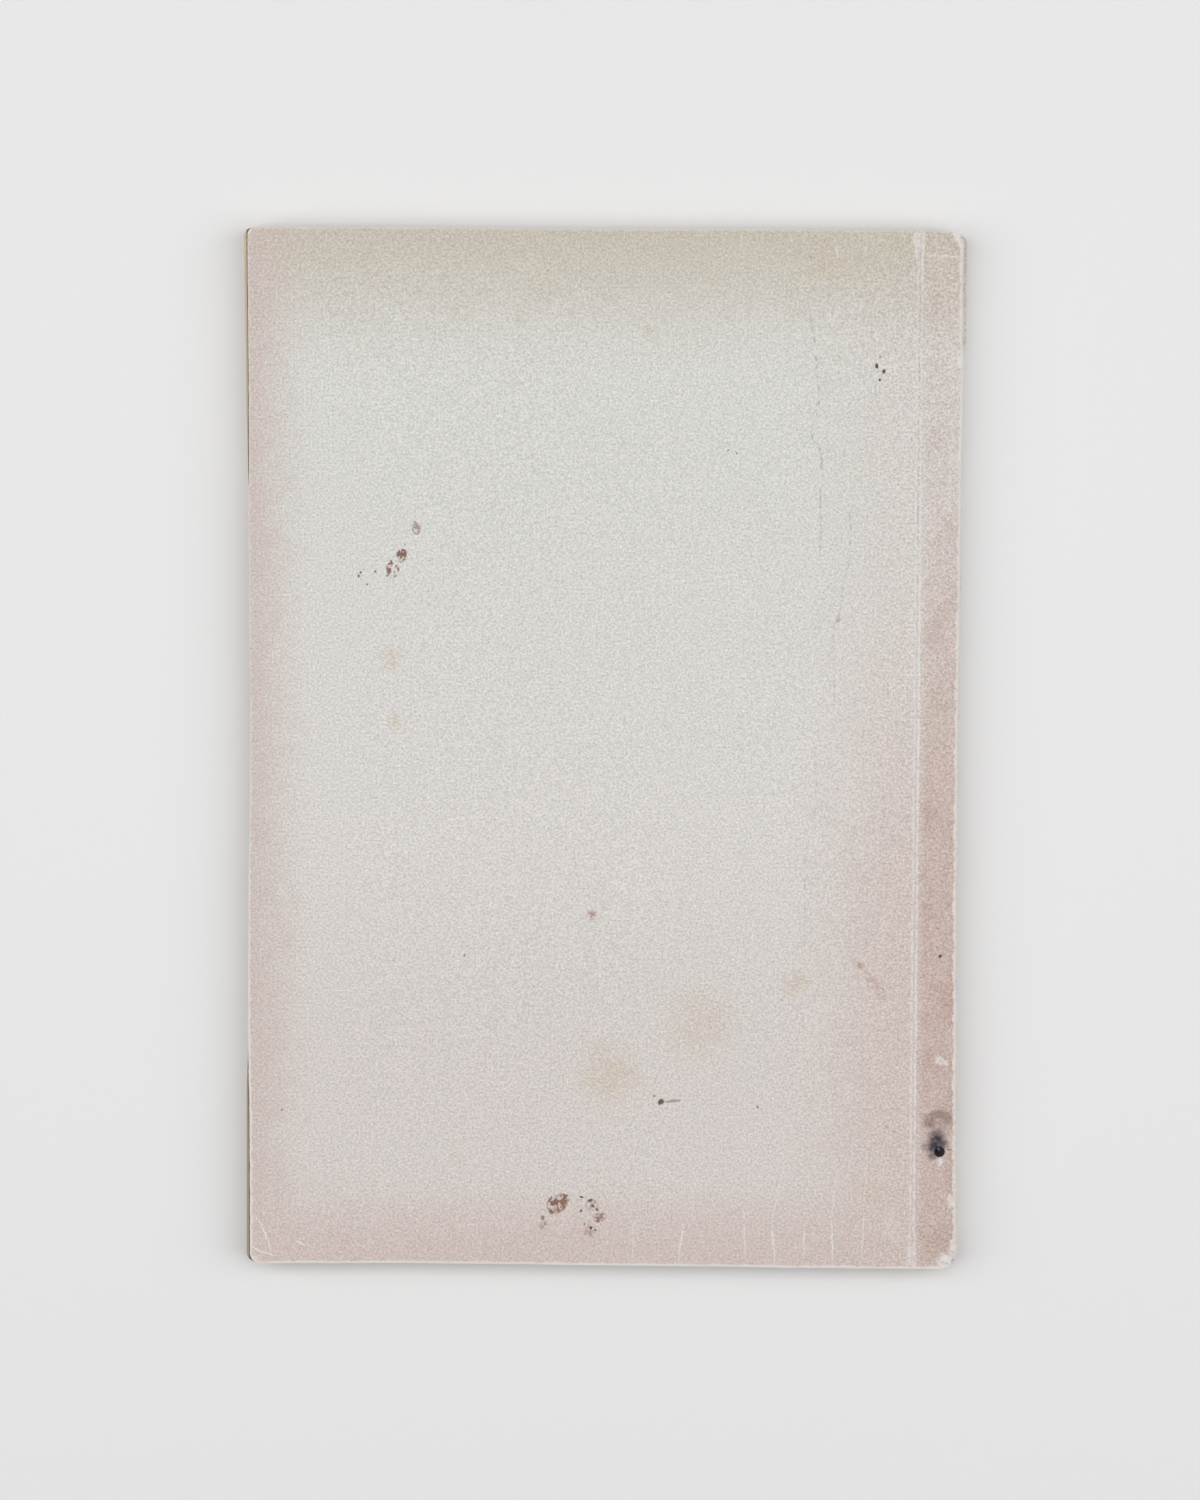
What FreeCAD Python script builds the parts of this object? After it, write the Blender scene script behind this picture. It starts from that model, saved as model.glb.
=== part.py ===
import FreeCAD, Part
import math
import os
import Sketcher

# A thin old paperback, lying closed on its front cover with the head edge towards +Y and the
# spine at +X. Its 40 leaves are side-stitched with two flat wire staples, glued along the spine
# and wrapped in one sheet of card, which folds round the spine and opens at a pressed double score.
# Millimetres. The origin is at the middle of the book's footprint, on the surface it lies on.

SIZES = [
    ("cover_width", 140.0, "closed book, from the spine's face to the fore edge"),
    ("cover_height", 203.0, "from the tail edge to the head edge"),
    ("book_thickness", 6.0, "both covers and the leaves"),
    ("card_thickness", 0.3, "cover card"),
    ("side_glue", 0.1, "glue film between a hinge strip and the outer leaf"),
    ("spine_glue", 0.4, "glue bed between the leaves' backs and the spine"),
    ("glue_margin", 0.8, "how far the side glue stops short of the fold line"),
    ("score_from_spine", 8.8, "fold line of a cover, from the spine's face"),
    ("score_spacing", 0.8, "between the two pressed lines beside the fold line"),
    ("score_width", 0.3, "one pressed line"),
    ("score_depth", 0.08, "one pressed line"),
    ("fold_gap", 0.05, "slit that stands for the fold between panel and strip"),
    ("back_fold_radius", 1.0, "outside of the fold from spine to back cover"),
    ("front_fold_radius", 0.8, "outside of the fold from spine to front cover"),
    ("fore_edge_bow", 0.8, "how far the middle of the fore edge lies inside its ends"),
    ("back_edge_wear", 0.7, "how far the back cover's worn fore edge stops short"),
    ("back_edge_bow", 0.1, "inward bow of the back cover's worn fore edge"),
    ("head_fore_corner", 1.5, "worn corner radius in plan"),
    ("tail_fore_corner", 1.8, "worn corner radius in plan"),
    ("head_spine_corner", 2.3, "worn corner radius in plan"),
    ("tail_spine_corner", 3.6, "worn corner radius in plan"),
    ("leaf_count", 40, "leaves, two pages each"),
    ("leaf_gap", 0.025, "open slit between two leaves at their trimmed edges"),
    ("leaf_edge_depth", 0.15, "how deep that slit runs in from the trimmed edges"),
    ("wire_width", 0.7, "flat stitching wire, across the book"),
    ("wire_thickness", 0.45, "flat stitching wire, the way it bends"),
    ("wire_bend", 0.3, "inside radius where the wire turns"),
    ("wire_clearance", 0.03, "between the wire and its seat in the leaves"),
    ("staple_crown", 17.6, "between the middles of a staple's two legs"),
    ("staple_clinch", 6.0, "turned-over end of a leg"),
    ("staple_inset", 3.9, "from the spine's face to the line of stitching"),
    ("staple_from_end", 32.0, "from head or tail edge to the middle of a staple"),
    ("worn_hole", 1.7, "hole rubbed through the back hinge strip over a wire leg"),
]

# Places that several pieces share, as expressions on the sheet.
SPINE_X = "Sizes.cover_width / 2"
FORE_X = "-Sizes.cover_width / 2"
HEAD_Y = "Sizes.cover_height / 2"
TAIL_Y = "-Sizes.cover_height / 2"
TOP_Z = "Sizes.book_thickness"
CARD_TOP_Z = "(Sizes.book_thickness - Sizes.card_thickness)"
FOLD_X = "(Sizes.cover_width / 2 - Sizes.score_from_spine)"
PANEL_X = f"({FOLD_X} - Sizes.fold_gap / 2)"
STRIP_X = f"({FOLD_X} + Sizes.fold_gap / 2)"
GLUE_FACE_X = "(Sizes.cover_width / 2 - Sizes.card_thickness)"
GLUE_END_X = f"({FOLD_X} + Sizes.glue_margin)"
LEAVES_SPINE_X = f"({GLUE_FACE_X} - Sizes.spine_glue)"
LEAVES_LOW_Z = "(Sizes.card_thickness + Sizes.side_glue)"
LEAVES_HIGH_Z = f"({CARD_TOP_Z} - Sizes.side_glue)"
LEAVES_THICK = f"({LEAVES_HIGH_Z} - {LEAVES_LOW_Z})"
LEAF_PITCH = f"(({LEAVES_THICK} + Sizes.leaf_gap) / Sizes.leaf_count)"
STITCH_X = "(Sizes.cover_width / 2 - Sizes.staple_inset)"
HEAD_STAPLE_Y = "(Sizes.cover_height / 2 - Sizes.staple_from_end)"
TAIL_STAPLE_Y = "(-Sizes.cover_height / 2 + Sizes.staple_from_end)"
WORN_HOLE_Y = f"({TAIL_STAPLE_Y} - Sizes.staple_crown / 2)"

# How far a cutting outline runs past the piece that it cuts.
PAST = 2.0

doc = FreeCAD.newDocument("Paperback")


def make_sheet():
    """The spreadsheet of driving dimensions."""
    sheet = doc.addObject("Spreadsheet::Sheet", "Sizes")
    for row, (alias, value, meaning) in enumerate(SIZES, start=1):
        sheet.set(f"A{row}", meaning)
        sheet.set(f"B{row}", str(value))
        sheet.setAlias(f"B{row}", alias)
    doc.recompute()
    return sheet


sheet = make_sheet()


def number(expression):
    """What an expression on the sheet comes to."""
    return float(sheet.evalExpression(expression))


# Bodies and sketches


def new_body(label):
    """An empty body, whose label names the piece."""
    body = doc.addObject("PartDesign::Body", label)
    body.Label = label
    return body


def new_sketch(body, name, plane, level=None):
    """A sketch on one of the body's own origin planes, lifted off it by an expression."""
    sketch = body.newObject("Sketcher::SketchObject", f"{body.Label}_{name}")
    support = next(f for f in body.Origin.OriginFeatures if f.Role == plane)
    sketch.AttachmentSupport = [(support, "")]
    sketch.MapMode = "FlatFace"
    if level is not None:
        sketch.setExpression("AttachmentOffset.Base.z", level)
    doc.recompute()
    return sketch


def pin(sketch, kind, geometry, vertex, expression):
    """Holds a point's X or Y distance from the sketch's origin at an expression."""
    value = number(expression)
    index = sketch.addConstraint(Sketcher.Constraint(kind, -1, 1, geometry, vertex, value))
    bind(sketch, index, expression)


def bind(sketch, index, expression):
    """Names a constraint and drives it from the sheet."""
    name = f"size_{index}"
    sketch.renameConstraint(index, name)
    sketch.setExpression(f"Constraints.{name}", expression)


def draw_path(sketch, corners, closed):
    """A path of level and upright lines through corners (x, y, radius), rounded where a radius is given."""
    points = [FreeCAD.Vector(number(x), number(y), 0) for x, y, _ in corners]
    radii = [number(r) if r else 0.0 for _, _, r in corners]
    count = len(corners)
    sides = range(count if closed else count - 1)
    lines = {}
    for i in sides:
        j = (i + 1) % count
        toward = (points[j] - points[i]).normalize()
        start, end = points[i] + toward * radii[i], points[j] - toward * radii[j]
        lines[i] = sketch.addGeometry(Part.LineSegment(start, end))
        upright = corners[i][0] == corners[j][0]
        sketch.addConstraint(Sketcher.Constraint("Vertical" if upright else "Horizontal", lines[i]))
        pin(sketch, "DistanceX" if upright else "DistanceY", lines[i], 1, corners[i][0 if upright else 1])
    for i, (_, _, radius) in enumerate(corners):
        before, after = lines.get((i - 1) % count), lines.get(i)
        if before is None or after is None:
            end, vertex = (after, 1) if before is None else (before, 2)
            upright = corners[i][0] == corners[1 if i == 0 else count - 2][0]
            pin(sketch, "DistanceY" if upright else "DistanceX", end, vertex, corners[i][1 if upright else 0])
        elif radius:
            join_with_arc(sketch, before, after, points[i], points[i - 1], points[(i + 1) % count], radius)
        else:
            sketch.addConstraint(Sketcher.Constraint("Coincident", before, 2, after, 1))


def join_with_arc(sketch, before, after, corner, previous, following, radius):
    """An arc tangent to the line before a right-angled corner and to the line after it."""
    size = number(radius)
    back, on = (previous - corner).normalize(), (following - corner).normalize()
    centre = corner + (back + on) * size
    start, end = corner + back * size, corner + on * size
    middle = centre + (corner - centre).normalize() * size
    arc = sketch.addGeometry(Part.Arc(start, middle, end))
    first = 1 if (sketch.getPoint(arc, 1) - start).Length < (sketch.getPoint(arc, 2) - start).Length else 2
    sketch.addConstraint(Sketcher.Constraint("Tangent", before, 2, arc, first))
    sketch.addConstraint(Sketcher.Constraint("Tangent", arc, 3 - first, after, 1))
    bind(sketch, sketch.addConstraint(Sketcher.Constraint("Radius", arc, size)), radius)


def draw_plan(sketch, right, fore, bow, inset="0"):
    """The plan of leaves or of a cover, with a bowed fore edge at the left and a square right end."""
    head, tail = draw_trimmed_edges(sketch, right, fore, bow, inset)
    side = sketch.addGeometry(Part.LineSegment(sketch.getPoint(tail, 2), sketch.getPoint(head, 1)))
    sketch.addConstraint(Sketcher.Constraint("Coincident", tail, 2, side, 1))
    sketch.addConstraint(Sketcher.Constraint("Coincident", side, 2, head, 1))


def draw_leaf_margin(sketch, right, fore, bow, margin):
    """The outermost strip of a leaf along its three trimmed edges."""
    head, tail = draw_trimmed_edges(sketch, right, fore, bow)
    inner_head, inner_tail = draw_trimmed_edges(sketch, right, fore, bow, margin)
    for outer, inner, vertex in ((head, inner_head, 1), (tail, inner_tail, 2)):
        ends = sketch.getPoint(outer, vertex), sketch.getPoint(inner, vertex)
        end = sketch.addGeometry(Part.LineSegment(*ends))
        sketch.addConstraint(Sketcher.Constraint("Coincident", outer, vertex, end, 1))
        sketch.addConstraint(Sketcher.Constraint("Coincident", inner, vertex, end, 2))


def draw_circle(sketch, x, y, diameter):
    """A circle whose centre and diameter are driven from the sheet."""
    centre = FreeCAD.Vector(number(x), number(y), 0)
    rim = sketch.addGeometry(Part.Circle(centre, FreeCAD.Vector(0, 0, 1), number(diameter) / 2))
    pin(sketch, "DistanceX", rim, 3, x)
    pin(sketch, "DistanceY", rim, 3, y)
    bind(sketch, sketch.addConstraint(Sketcher.Constraint("Diameter", rim, number(diameter))), diameter)


def draw_trimmed_edges(sketch, right, fore, bow, inset="0"):
    """Head, fore and tail edges with two worn corners, set in by inset. Returns the head and tail lines."""
    half_height = "(Sizes.cover_height / 2)"
    edge_radius = f"(({half_height} * {half_height} + {bow} * {bow}) / (2 * {bow}) + {inset})"
    edge_centre = f"({fore} + {bow} + {inset} - {edge_radius})"
    head_radius, tail_radius = f"(Sizes.head_fore_corner - {inset})", f"(Sizes.tail_fore_corner - {inset})"
    end_x, inner, deep = number(right), number(fore) + number(inset), number(bow)
    high, head_r, tail_r = number(HEAD_Y) - number(inset), number(head_radius), number(tail_radius)
    point = FreeCAD.Vector
    edge_head, edge_tail = point(inner, high - head_r, 0), point(inner, tail_r - high, 0)
    head_end, tail_end = point(inner + head_r, high, 0), point(inner + tail_r, -high, 0)
    head = sketch.addGeometry(Part.LineSegment(point(end_x, high, 0), head_end))
    head_corner = sketch.addGeometry(Part.Arc(
        head_end, round_point(inner + head_r, high - head_r, head_r, 135), edge_head))
    edge = sketch.addGeometry(Part.Arc(edge_tail, point(inner + deep, 0, 0), edge_head))
    tail_corner = sketch.addGeometry(Part.Arc(
        edge_tail, round_point(inner + tail_r, tail_r - high, tail_r, 225), tail_end))
    tail = sketch.addGeometry(Part.LineSegment(tail_end, point(end_x, -high, 0)))
    chain = [head, head_corner, edge, tail_corner, tail]
    for first, second in zip(chain, chain[1:]):
        one, two = nearest_ends(sketch, first, second)
        sketch.addConstraint(Sketcher.Constraint("Tangent", first, one, second, two))
    for line, vertex, level in ((head, 1, f"{HEAD_Y} - {inset}"), (tail, 2, f"{TAIL_Y} + {inset}")):
        sketch.addConstraint(Sketcher.Constraint("Horizontal", line))
        pin(sketch, "DistanceX", line, vertex, right)
        pin(sketch, "DistanceY", line, vertex, level)
    sketch.addConstraint(Sketcher.Constraint("PointOnObject", edge, 3, -1))
    pin(sketch, "DistanceX", edge, 3, edge_centre)
    for arc, radius in ((head_corner, head_radius), (tail_corner, tail_radius), (edge, edge_radius)):
        bind(sketch, sketch.addConstraint(Sketcher.Constraint("Radius", arc, number(radius))), radius)
    return head, tail


def round_point(x, y, radius, degrees):
    """A point on a circle about (x, y)."""
    angle = math.radians(degrees)
    return FreeCAD.Vector(x + radius * math.cos(angle), y + radius * math.sin(angle), 0)


def nearest_ends(sketch, first, second):
    """Which end of one edge meets which end of another."""
    pairs = [(one, two) for one in (1, 2) for two in (1, 2)]
    return min(pairs, key=lambda p: (sketch.getPoint(first, p[0]) - sketch.getPoint(second, p[1])).Length)


# Features


def pad(body, sketch, length, symmetric=False):
    """A sketch extruded by an expression, upwards or evenly to both sides."""
    feature = body.newObject("PartDesign::Pad", f"{sketch.Name}_pad")
    feature.Profile = sketch
    feature.SideType = "Symmetric" if symmetric else "One side"
    feature.setExpression("Length", length)
    doc.recompute()
    return feature


def cut(body, sketch, length, symmetric=True, reverse=False):
    """A sketch cut away, evenly to both sides or else downwards, or upwards where reversed."""
    before = body.Shape.Volume
    feature = body.newObject("PartDesign::Pocket", f"{sketch.Name}_cut")
    feature.Profile = sketch
    feature.SideType = "Symmetric" if symmetric else "One side"
    feature.Reversed = reverse
    feature.setExpression("Length", length)
    doc.recompute()
    if not body.Shape.Volume < before:
        raise RuntimeError(f"{feature.Name} cut nothing")


def round_corner(body, name, plane, corner, signs, radius, length):
    """Cuts a right-angled corner of the body's section round, right through along the plane's normal."""
    sketch = new_sketch(body, name, plane)
    (u, v), (su, sv) = corner, signs
    size = number(radius)
    cu, cv = number(u) - su * size, number(v) - sv * size
    point = FreeCAD.Vector
    ends = [point(number(u), cv, 0), point(cu, number(v), 0)]
    middle = point(cu + su * size * math.sqrt(0.5), cv + sv * size * math.sqrt(0.5), 0)
    outer = [point(number(u) + su * PAST, cv, 0), point(number(u) + su * PAST, number(v) + sv * PAST, 0),
             point(cu, number(v) + sv * PAST, 0)]
    ring = [ends[0], *outer, ends[1]]
    lines = [sketch.addGeometry(Part.LineSegment(a, b)) for a, b in zip(ring, ring[1:])]
    arc = sketch.addGeometry(Part.Arc(ends[1], middle, ends[0]))
    for a, b in zip(lines, lines[1:]):
        sketch.addConstraint(Sketcher.Constraint("Coincident", a, 2, b, 1))
    for line in (lines[0], lines[-1]):
        vertex, arc_end = nearest_ends(sketch, line, arc)
        sketch.addConstraint(Sketcher.Constraint("Coincident", line, vertex, arc, arc_end))
    for line, way in zip(lines, ("Horizontal", "Vertical", "Horizontal", "Vertical")):
        sketch.addConstraint(Sketcher.Constraint(way, line))
    signed = {1: "+", -1: "-"}
    pin(sketch, "DistanceX", arc, 3, f"({u} {signed[-su]} {radius})")
    pin(sketch, "DistanceY", arc, 3, f"({v} {signed[-sv]} {radius})")
    pin(sketch, "DistanceX", lines[0], 1, u)
    pin(sketch, "DistanceX", lines[0], 2, f"({u} {signed[su]} {PAST})")
    pin(sketch, "DistanceY", lines[2], 1, f"({v} {signed[sv]} {PAST})")
    sketch.addConstraint(Sketcher.Constraint("Horizontal", lines[0], 1, arc, 3))
    sketch.addConstraint(Sketcher.Constraint("Vertical", lines[-1], 2, arc, 3))
    cut(body, sketch, length)


def round_spine_corners(body):
    """The worn head and tail corners of the spine, in plan, through covers, glue and leaves alike."""
    through = "Sizes.book_thickness * 3"
    for end, end_y, sign in (("head", HEAD_Y, 1), ("tail", TAIL_Y, -1)):
        round_corner(body, f"{end}_spine_corner", "XY_Plane", (SPINE_X, end_y), (1, sign),
                     f"Sizes.{end}_spine_corner", through)


def press_score(body, name, side, top):
    """One pressed line of the double score: a shallow V along the book, beside the fold line."""
    sketch = new_sketch(body, name, "XZ_Plane")
    face = TOP_Z if top else "0"
    floor = f"({TOP_Z} - Sizes.score_depth)" if top else "Sizes.score_depth"
    centre = f"({FOLD_X} {'+' if side > 0 else '-'} Sizes.score_spacing / 2)"
    corners = [(f"({centre} - Sizes.score_width / 2)", face), (f"({centre} + Sizes.score_width / 2)", face),
               (centre, floor)]
    points = [FreeCAD.Vector(number(x), number(y), 0) for x, y in corners]
    lines = [sketch.addGeometry(Part.LineSegment(points[i], points[(i + 1) % 3])) for i in range(3)]
    for i, (x, y) in enumerate(corners):
        sketch.addConstraint(Sketcher.Constraint("Coincident", lines[i - 1], 2, lines[i], 1))
        pin(sketch, "DistanceX", lines[i], 1, x)
        pin(sketch, "DistanceY", lines[i], 1, y)
    cut(body, sketch, "Sizes.cover_height * 2")


# The covers


def make_front_cover():
    """The front cover's panel, which the book lies on. It ends at the fold line beside the spine."""
    body = new_body("front_cover")
    plan = new_sketch(body, "plan", "XY_Plane")
    draw_plan(plan, PANEL_X, FORE_X, "Sizes.fore_edge_bow")
    pad(body, plan, "Sizes.card_thickness")
    press_score(body, "score", -1, top=False)
    return body


def make_back_cover():
    """The back cover's panel, uppermost, with its fore edge worn back from the leaves below."""
    body = new_body("back_cover")
    plan = new_sketch(body, "plan", "XY_Plane", CARD_TOP_Z)
    draw_plan(plan, PANEL_X, f"({FORE_X} + Sizes.back_edge_wear)", "Sizes.back_edge_bow")
    pad(body, plan, "Sizes.card_thickness")
    press_score(body, "score", -1, top=True)
    return body


def make_spine_wrap():
    """The middle of the cover card: both hinge strips and the spine, folded round the leaves' backs."""
    body = new_body("spine_wrap")
    card = "Sizes.card_thickness"
    section = new_sketch(body, "section", "XZ_Plane")
    draw_path(section, [
        (STRIP_X, TOP_Z, None),
        (SPINE_X, TOP_Z, "Sizes.back_fold_radius"),
        (SPINE_X, "0", "Sizes.front_fold_radius"),
        (STRIP_X, "0", None),
        (STRIP_X, card, None),
        (GLUE_FACE_X, card, f"(Sizes.front_fold_radius - {card})"),
        (GLUE_FACE_X, CARD_TOP_Z, f"(Sizes.back_fold_radius - {card})"),
        (STRIP_X, CARD_TOP_Z, None),
    ], closed=True)
    pad(body, section, "Sizes.cover_height", symmetric=True)
    round_spine_corners(body)
    press_score(body, "back_score", 1, top=True)
    press_score(body, "front_score", 1, top=False)
    wear_hole(body)
    return body


def wear_hole(body):
    """The small hole rubbed through card and glue over one leg of the tail staple."""
    sketch = new_sketch(body, "worn_hole", "XY_Plane", TOP_Z)
    draw_circle(sketch, STITCH_X, WORN_HOLE_Y, "Sizes.worn_hole")
    cut(body, sketch, f"({TOP_Z} - {LEAVES_HIGH_Z})", symmetric=False)


# The binding


def make_binding_glue():
    """Glue on the leaves' backs, with a thin film under each hinge strip."""
    body = new_body("binding_glue")
    section = new_sketch(body, "section", "XZ_Plane")
    draw_path(section, [
        (GLUE_END_X, CARD_TOP_Z, None),
        (GLUE_FACE_X, CARD_TOP_Z, "(Sizes.back_fold_radius - Sizes.card_thickness)"),
        (GLUE_FACE_X, "Sizes.card_thickness", "(Sizes.front_fold_radius - Sizes.card_thickness)"),
        (GLUE_END_X, "Sizes.card_thickness", None),
        (GLUE_END_X, LEAVES_LOW_Z, None),
        (LEAVES_SPINE_X, LEAVES_LOW_Z, leaf_corner("front")),
        (LEAVES_SPINE_X, LEAVES_HIGH_Z, leaf_corner("back")),
        (GLUE_END_X, LEAVES_HIGH_Z, None),
    ], closed=True)
    pad(body, section, "Sizes.cover_height", symmetric=True)
    round_spine_corners(body)
    wear_hole(body)
    return body


def leaf_corner(side):
    """Radius of the leaves' back corner inside the fold at that side of the spine."""
    return f"(Sizes.{side}_fold_radius - Sizes.card_thickness - Sizes.spine_glue)"


def draw_staple(sketch, middle_y, spare="0", past="0"):
    """A staple from the side: crown under the leaves, two legs through them, ends turned in on top.

    Spare makes the outline larger all round, and past carries it on beyond the leaves' faces.
    """
    wire, bend = "Sizes.wire_thickness", f"(Sizes.wire_bend - {spare})"
    outer_bend = f"(Sizes.wire_bend + {wire} + {spare})"
    half_crown = "Sizes.staple_crown / 2"
    bottom = f"({LEAVES_LOW_Z} + Sizes.wire_clearance - {spare} - {past})"
    top = f"({LEAVES_HIGH_Z} - Sizes.wire_clearance + {spare} + {past})"
    crown_top = f"({LEAVES_LOW_Z} + Sizes.wire_clearance + {wire} + {spare})"
    end_bottom = f"({LEAVES_HIGH_Z} - Sizes.wire_clearance - {wire} - {spare})"
    low_out = f"({middle_y} - {half_crown} - {wire} / 2 - {spare})"
    low_in = f"({middle_y} - {half_crown} + {wire} / 2 + {spare})"
    low_tip = f"({middle_y} - {half_crown} + Sizes.staple_clinch + {spare})"
    high_out = f"({middle_y} + {half_crown} + {wire} / 2 + {spare})"
    high_in = f"({middle_y} + {half_crown} - {wire} / 2 - {spare})"
    high_tip = f"({middle_y} + {half_crown} - Sizes.staple_clinch - {spare})"
    draw_path(sketch, [
        (low_out, top, outer_bend), (low_tip, top, None), (low_tip, end_bottom, None),
        (low_in, end_bottom, bend), (low_in, crown_top, bend), (high_in, crown_top, bend),
        (high_in, end_bottom, bend), (high_tip, end_bottom, None), (high_tip, top, None),
        (high_out, top, outer_bend), (high_out, bottom, outer_bend), (low_out, bottom, outer_bend),
    ], closed=True)


def make_staple(label, middle_y):
    """One staple of the side stitching, bent from flat wire."""
    body = new_body(label)
    side = new_sketch(body, "side", "YZ_Plane", STITCH_X)
    draw_staple(side, middle_y)
    pad(body, side, "Sizes.wire_width", symmetric=True)
    return body


# The leaves


def make_text_block():
    """The leaves as one solid, with the wires' seats and the trimmed edges that show each leaf."""
    body = new_body("text_block")
    core = new_sketch(body, "core", "XY_Plane", LEAVES_LOW_Z)
    draw_plan(core, LEAVES_SPINE_X, FORE_X, "Sizes.fore_edge_bow", "Sizes.leaf_edge_depth")
    pad(body, core, LEAVES_THICK)
    for side, face, sign in (("back", LEAVES_HIGH_Z, 1), ("front", LEAVES_LOW_Z, -1)):
        round_corner(body, f"{side}_fold_corner", "XZ_Plane", (LEAVES_SPINE_X, face), (1, sign),
                     leaf_corner(side), "Sizes.cover_height * 2")
    for name, middle_y in (("head", HEAD_STAPLE_Y), ("tail", TAIL_STAPLE_Y)):
        seat_staple(body, name, middle_y)
    stack_leaf_edges(body)
    round_spine_corners(body)
    return body


def stack_leaf_edges(body):
    """Each leaf's trimmed edges, which stand out from the core with an open slit between leaves."""
    strip = new_sketch(body, "leaf", "XY_Plane", LEAVES_LOW_Z)
    draw_leaf_margin(strip, LEAVES_SPINE_X, FORE_X, "Sizes.fore_edge_bow", "(Sizes.leaf_edge_depth * 2)")
    first = pad(body, strip, f"({LEAF_PITCH} - Sizes.leaf_gap)")
    pattern = body.newObject("PartDesign::LinearPattern", "text_block_leaves")
    pattern.Originals = [first]
    pattern.Direction = (strip, ["N_Axis"])
    pattern.setExpression("Length", f"({LEAVES_THICK} + Sizes.leaf_gap - {LEAF_PITCH})")
    pattern.setExpression("Occurrences", "Sizes.leaf_count")
    body.Tip = pattern
    doc.recompute()


def seat_staple(body, name, middle_y):
    """Room in the leaves for one staple, open at both faces where the wire lies on them."""
    side = new_sketch(body, f"{name}_seat", "YZ_Plane", STITCH_X)
    draw_staple(side, middle_y, "Sizes.wire_clearance", "Sizes.side_glue")
    cut(body, side, "Sizes.wire_width + 2 * Sizes.wire_clearance")


# Check and export


def export(bodies):
    """Checks every object and piece, then writes one file a piece."""
    doc.recompute()
    for thing in doc.Objects:
        if "Invalid" in thing.State or "Error" in thing.State:
            raise RuntimeError(f"{thing.Name} failed: {thing.State}")
    os.makedirs("parts", exist_ok=True)
    for body in bodies:
        shape = body.Shape
        if shape.isNull() or not shape.isValid() or len(shape.Solids) != 1:
            raise RuntimeError(f"{body.Label} isn't one valid solid")
        shape.exportStep(os.path.join("parts", f"{body.Label}.step"))
        print(body.Label, "volume mm3", round(shape.Volume, 2))


def main():
    """Builds the book's seven pieces and writes them."""
    export([
        make_front_cover(),
        make_spine_wrap(),
        make_binding_glue(),
        make_staple("head_staple", HEAD_STAPLE_Y),
        make_staple("tail_staple", TAIL_STAPLE_Y),
        make_text_block(),
        make_back_cover(),
    ])


main()
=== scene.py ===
"""A thin old paperback lying on its front cover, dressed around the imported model.

Lengths are millimetres in the book's own frame: +X to the spine, +Y to the head, +Z up.
"""

import math

import bpy
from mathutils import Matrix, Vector, noise


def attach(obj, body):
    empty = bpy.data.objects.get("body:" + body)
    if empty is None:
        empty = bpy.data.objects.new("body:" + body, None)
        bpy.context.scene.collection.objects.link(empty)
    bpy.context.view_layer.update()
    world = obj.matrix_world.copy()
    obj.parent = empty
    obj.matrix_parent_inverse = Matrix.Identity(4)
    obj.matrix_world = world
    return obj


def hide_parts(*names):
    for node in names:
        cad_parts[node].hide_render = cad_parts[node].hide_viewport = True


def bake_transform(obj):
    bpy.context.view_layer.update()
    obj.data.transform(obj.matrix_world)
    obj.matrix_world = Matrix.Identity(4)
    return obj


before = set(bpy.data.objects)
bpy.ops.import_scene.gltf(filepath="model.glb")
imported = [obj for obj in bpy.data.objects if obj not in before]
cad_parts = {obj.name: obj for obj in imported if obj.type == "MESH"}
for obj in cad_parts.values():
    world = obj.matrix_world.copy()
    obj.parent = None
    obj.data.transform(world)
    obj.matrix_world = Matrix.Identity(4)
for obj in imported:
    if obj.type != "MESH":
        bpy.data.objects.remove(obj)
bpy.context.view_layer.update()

MM = 0.001

# The book
SPINE = 70.0
FORE = -70.0
HEAD = 101.5
TAIL = -101.5
TOP = 6.0
CARD = 0.3
FOLD = 61.2
SCORES = (60.8, 61.6)
SCORE_WIDTH = 0.3
SCORE_DEPTH = 0.08
BACK_FOLD_RADIUS = 1.0
FRONT_FOLD_RADIUS = 0.8
LEAF_COUNT = 40
LEAVES_LOW = 0.4
LEAVES_HIGH = 5.6
LEAVES_SPINE = 69.3
STITCH_X = 66.1
STAPLE_LEGS = (78.3, 60.7, -60.7, -78.3)
STAPLES = (69.5, -69.5)
HOLE = (66.1, -78.3)
HOLE_RADIUS = 0.85
HOLE_REACH = 2.6
GLUE = 0.36
FACE = 5.94  # height of the upper face, where marks are drawn
FLOOR_GAP = 0.42  # lets the first leaf show beside the opened front cover, which stays down
SPECK_TONE = (120, 108, 98)
# Near-black of the stain and painted shade down in the worn hole
HOLE_TONE = (34, 32, 38)

# Ways that the staples take through the leaves
WAY_WIDTH = 0.8
LEG_WAY = 0.56
CROWN_WAY = 18.3
CLINCH_WAY = 6.6
CLINCH_OFF = 5.9
THROUGH = 2.0

CAMERA_PLACE = (-0.00095, 0.0565, 0.81577)
CAMERA_TILT = -3.959
CAMERA_TURN = 0.208

# Worn corners in plan: (x side, y side, radius)
CORNERS = ((-1, 1, 1.5), (-1, -1, 1.8), (1, 1, 2.3), (1, -1, 3.6))

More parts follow.
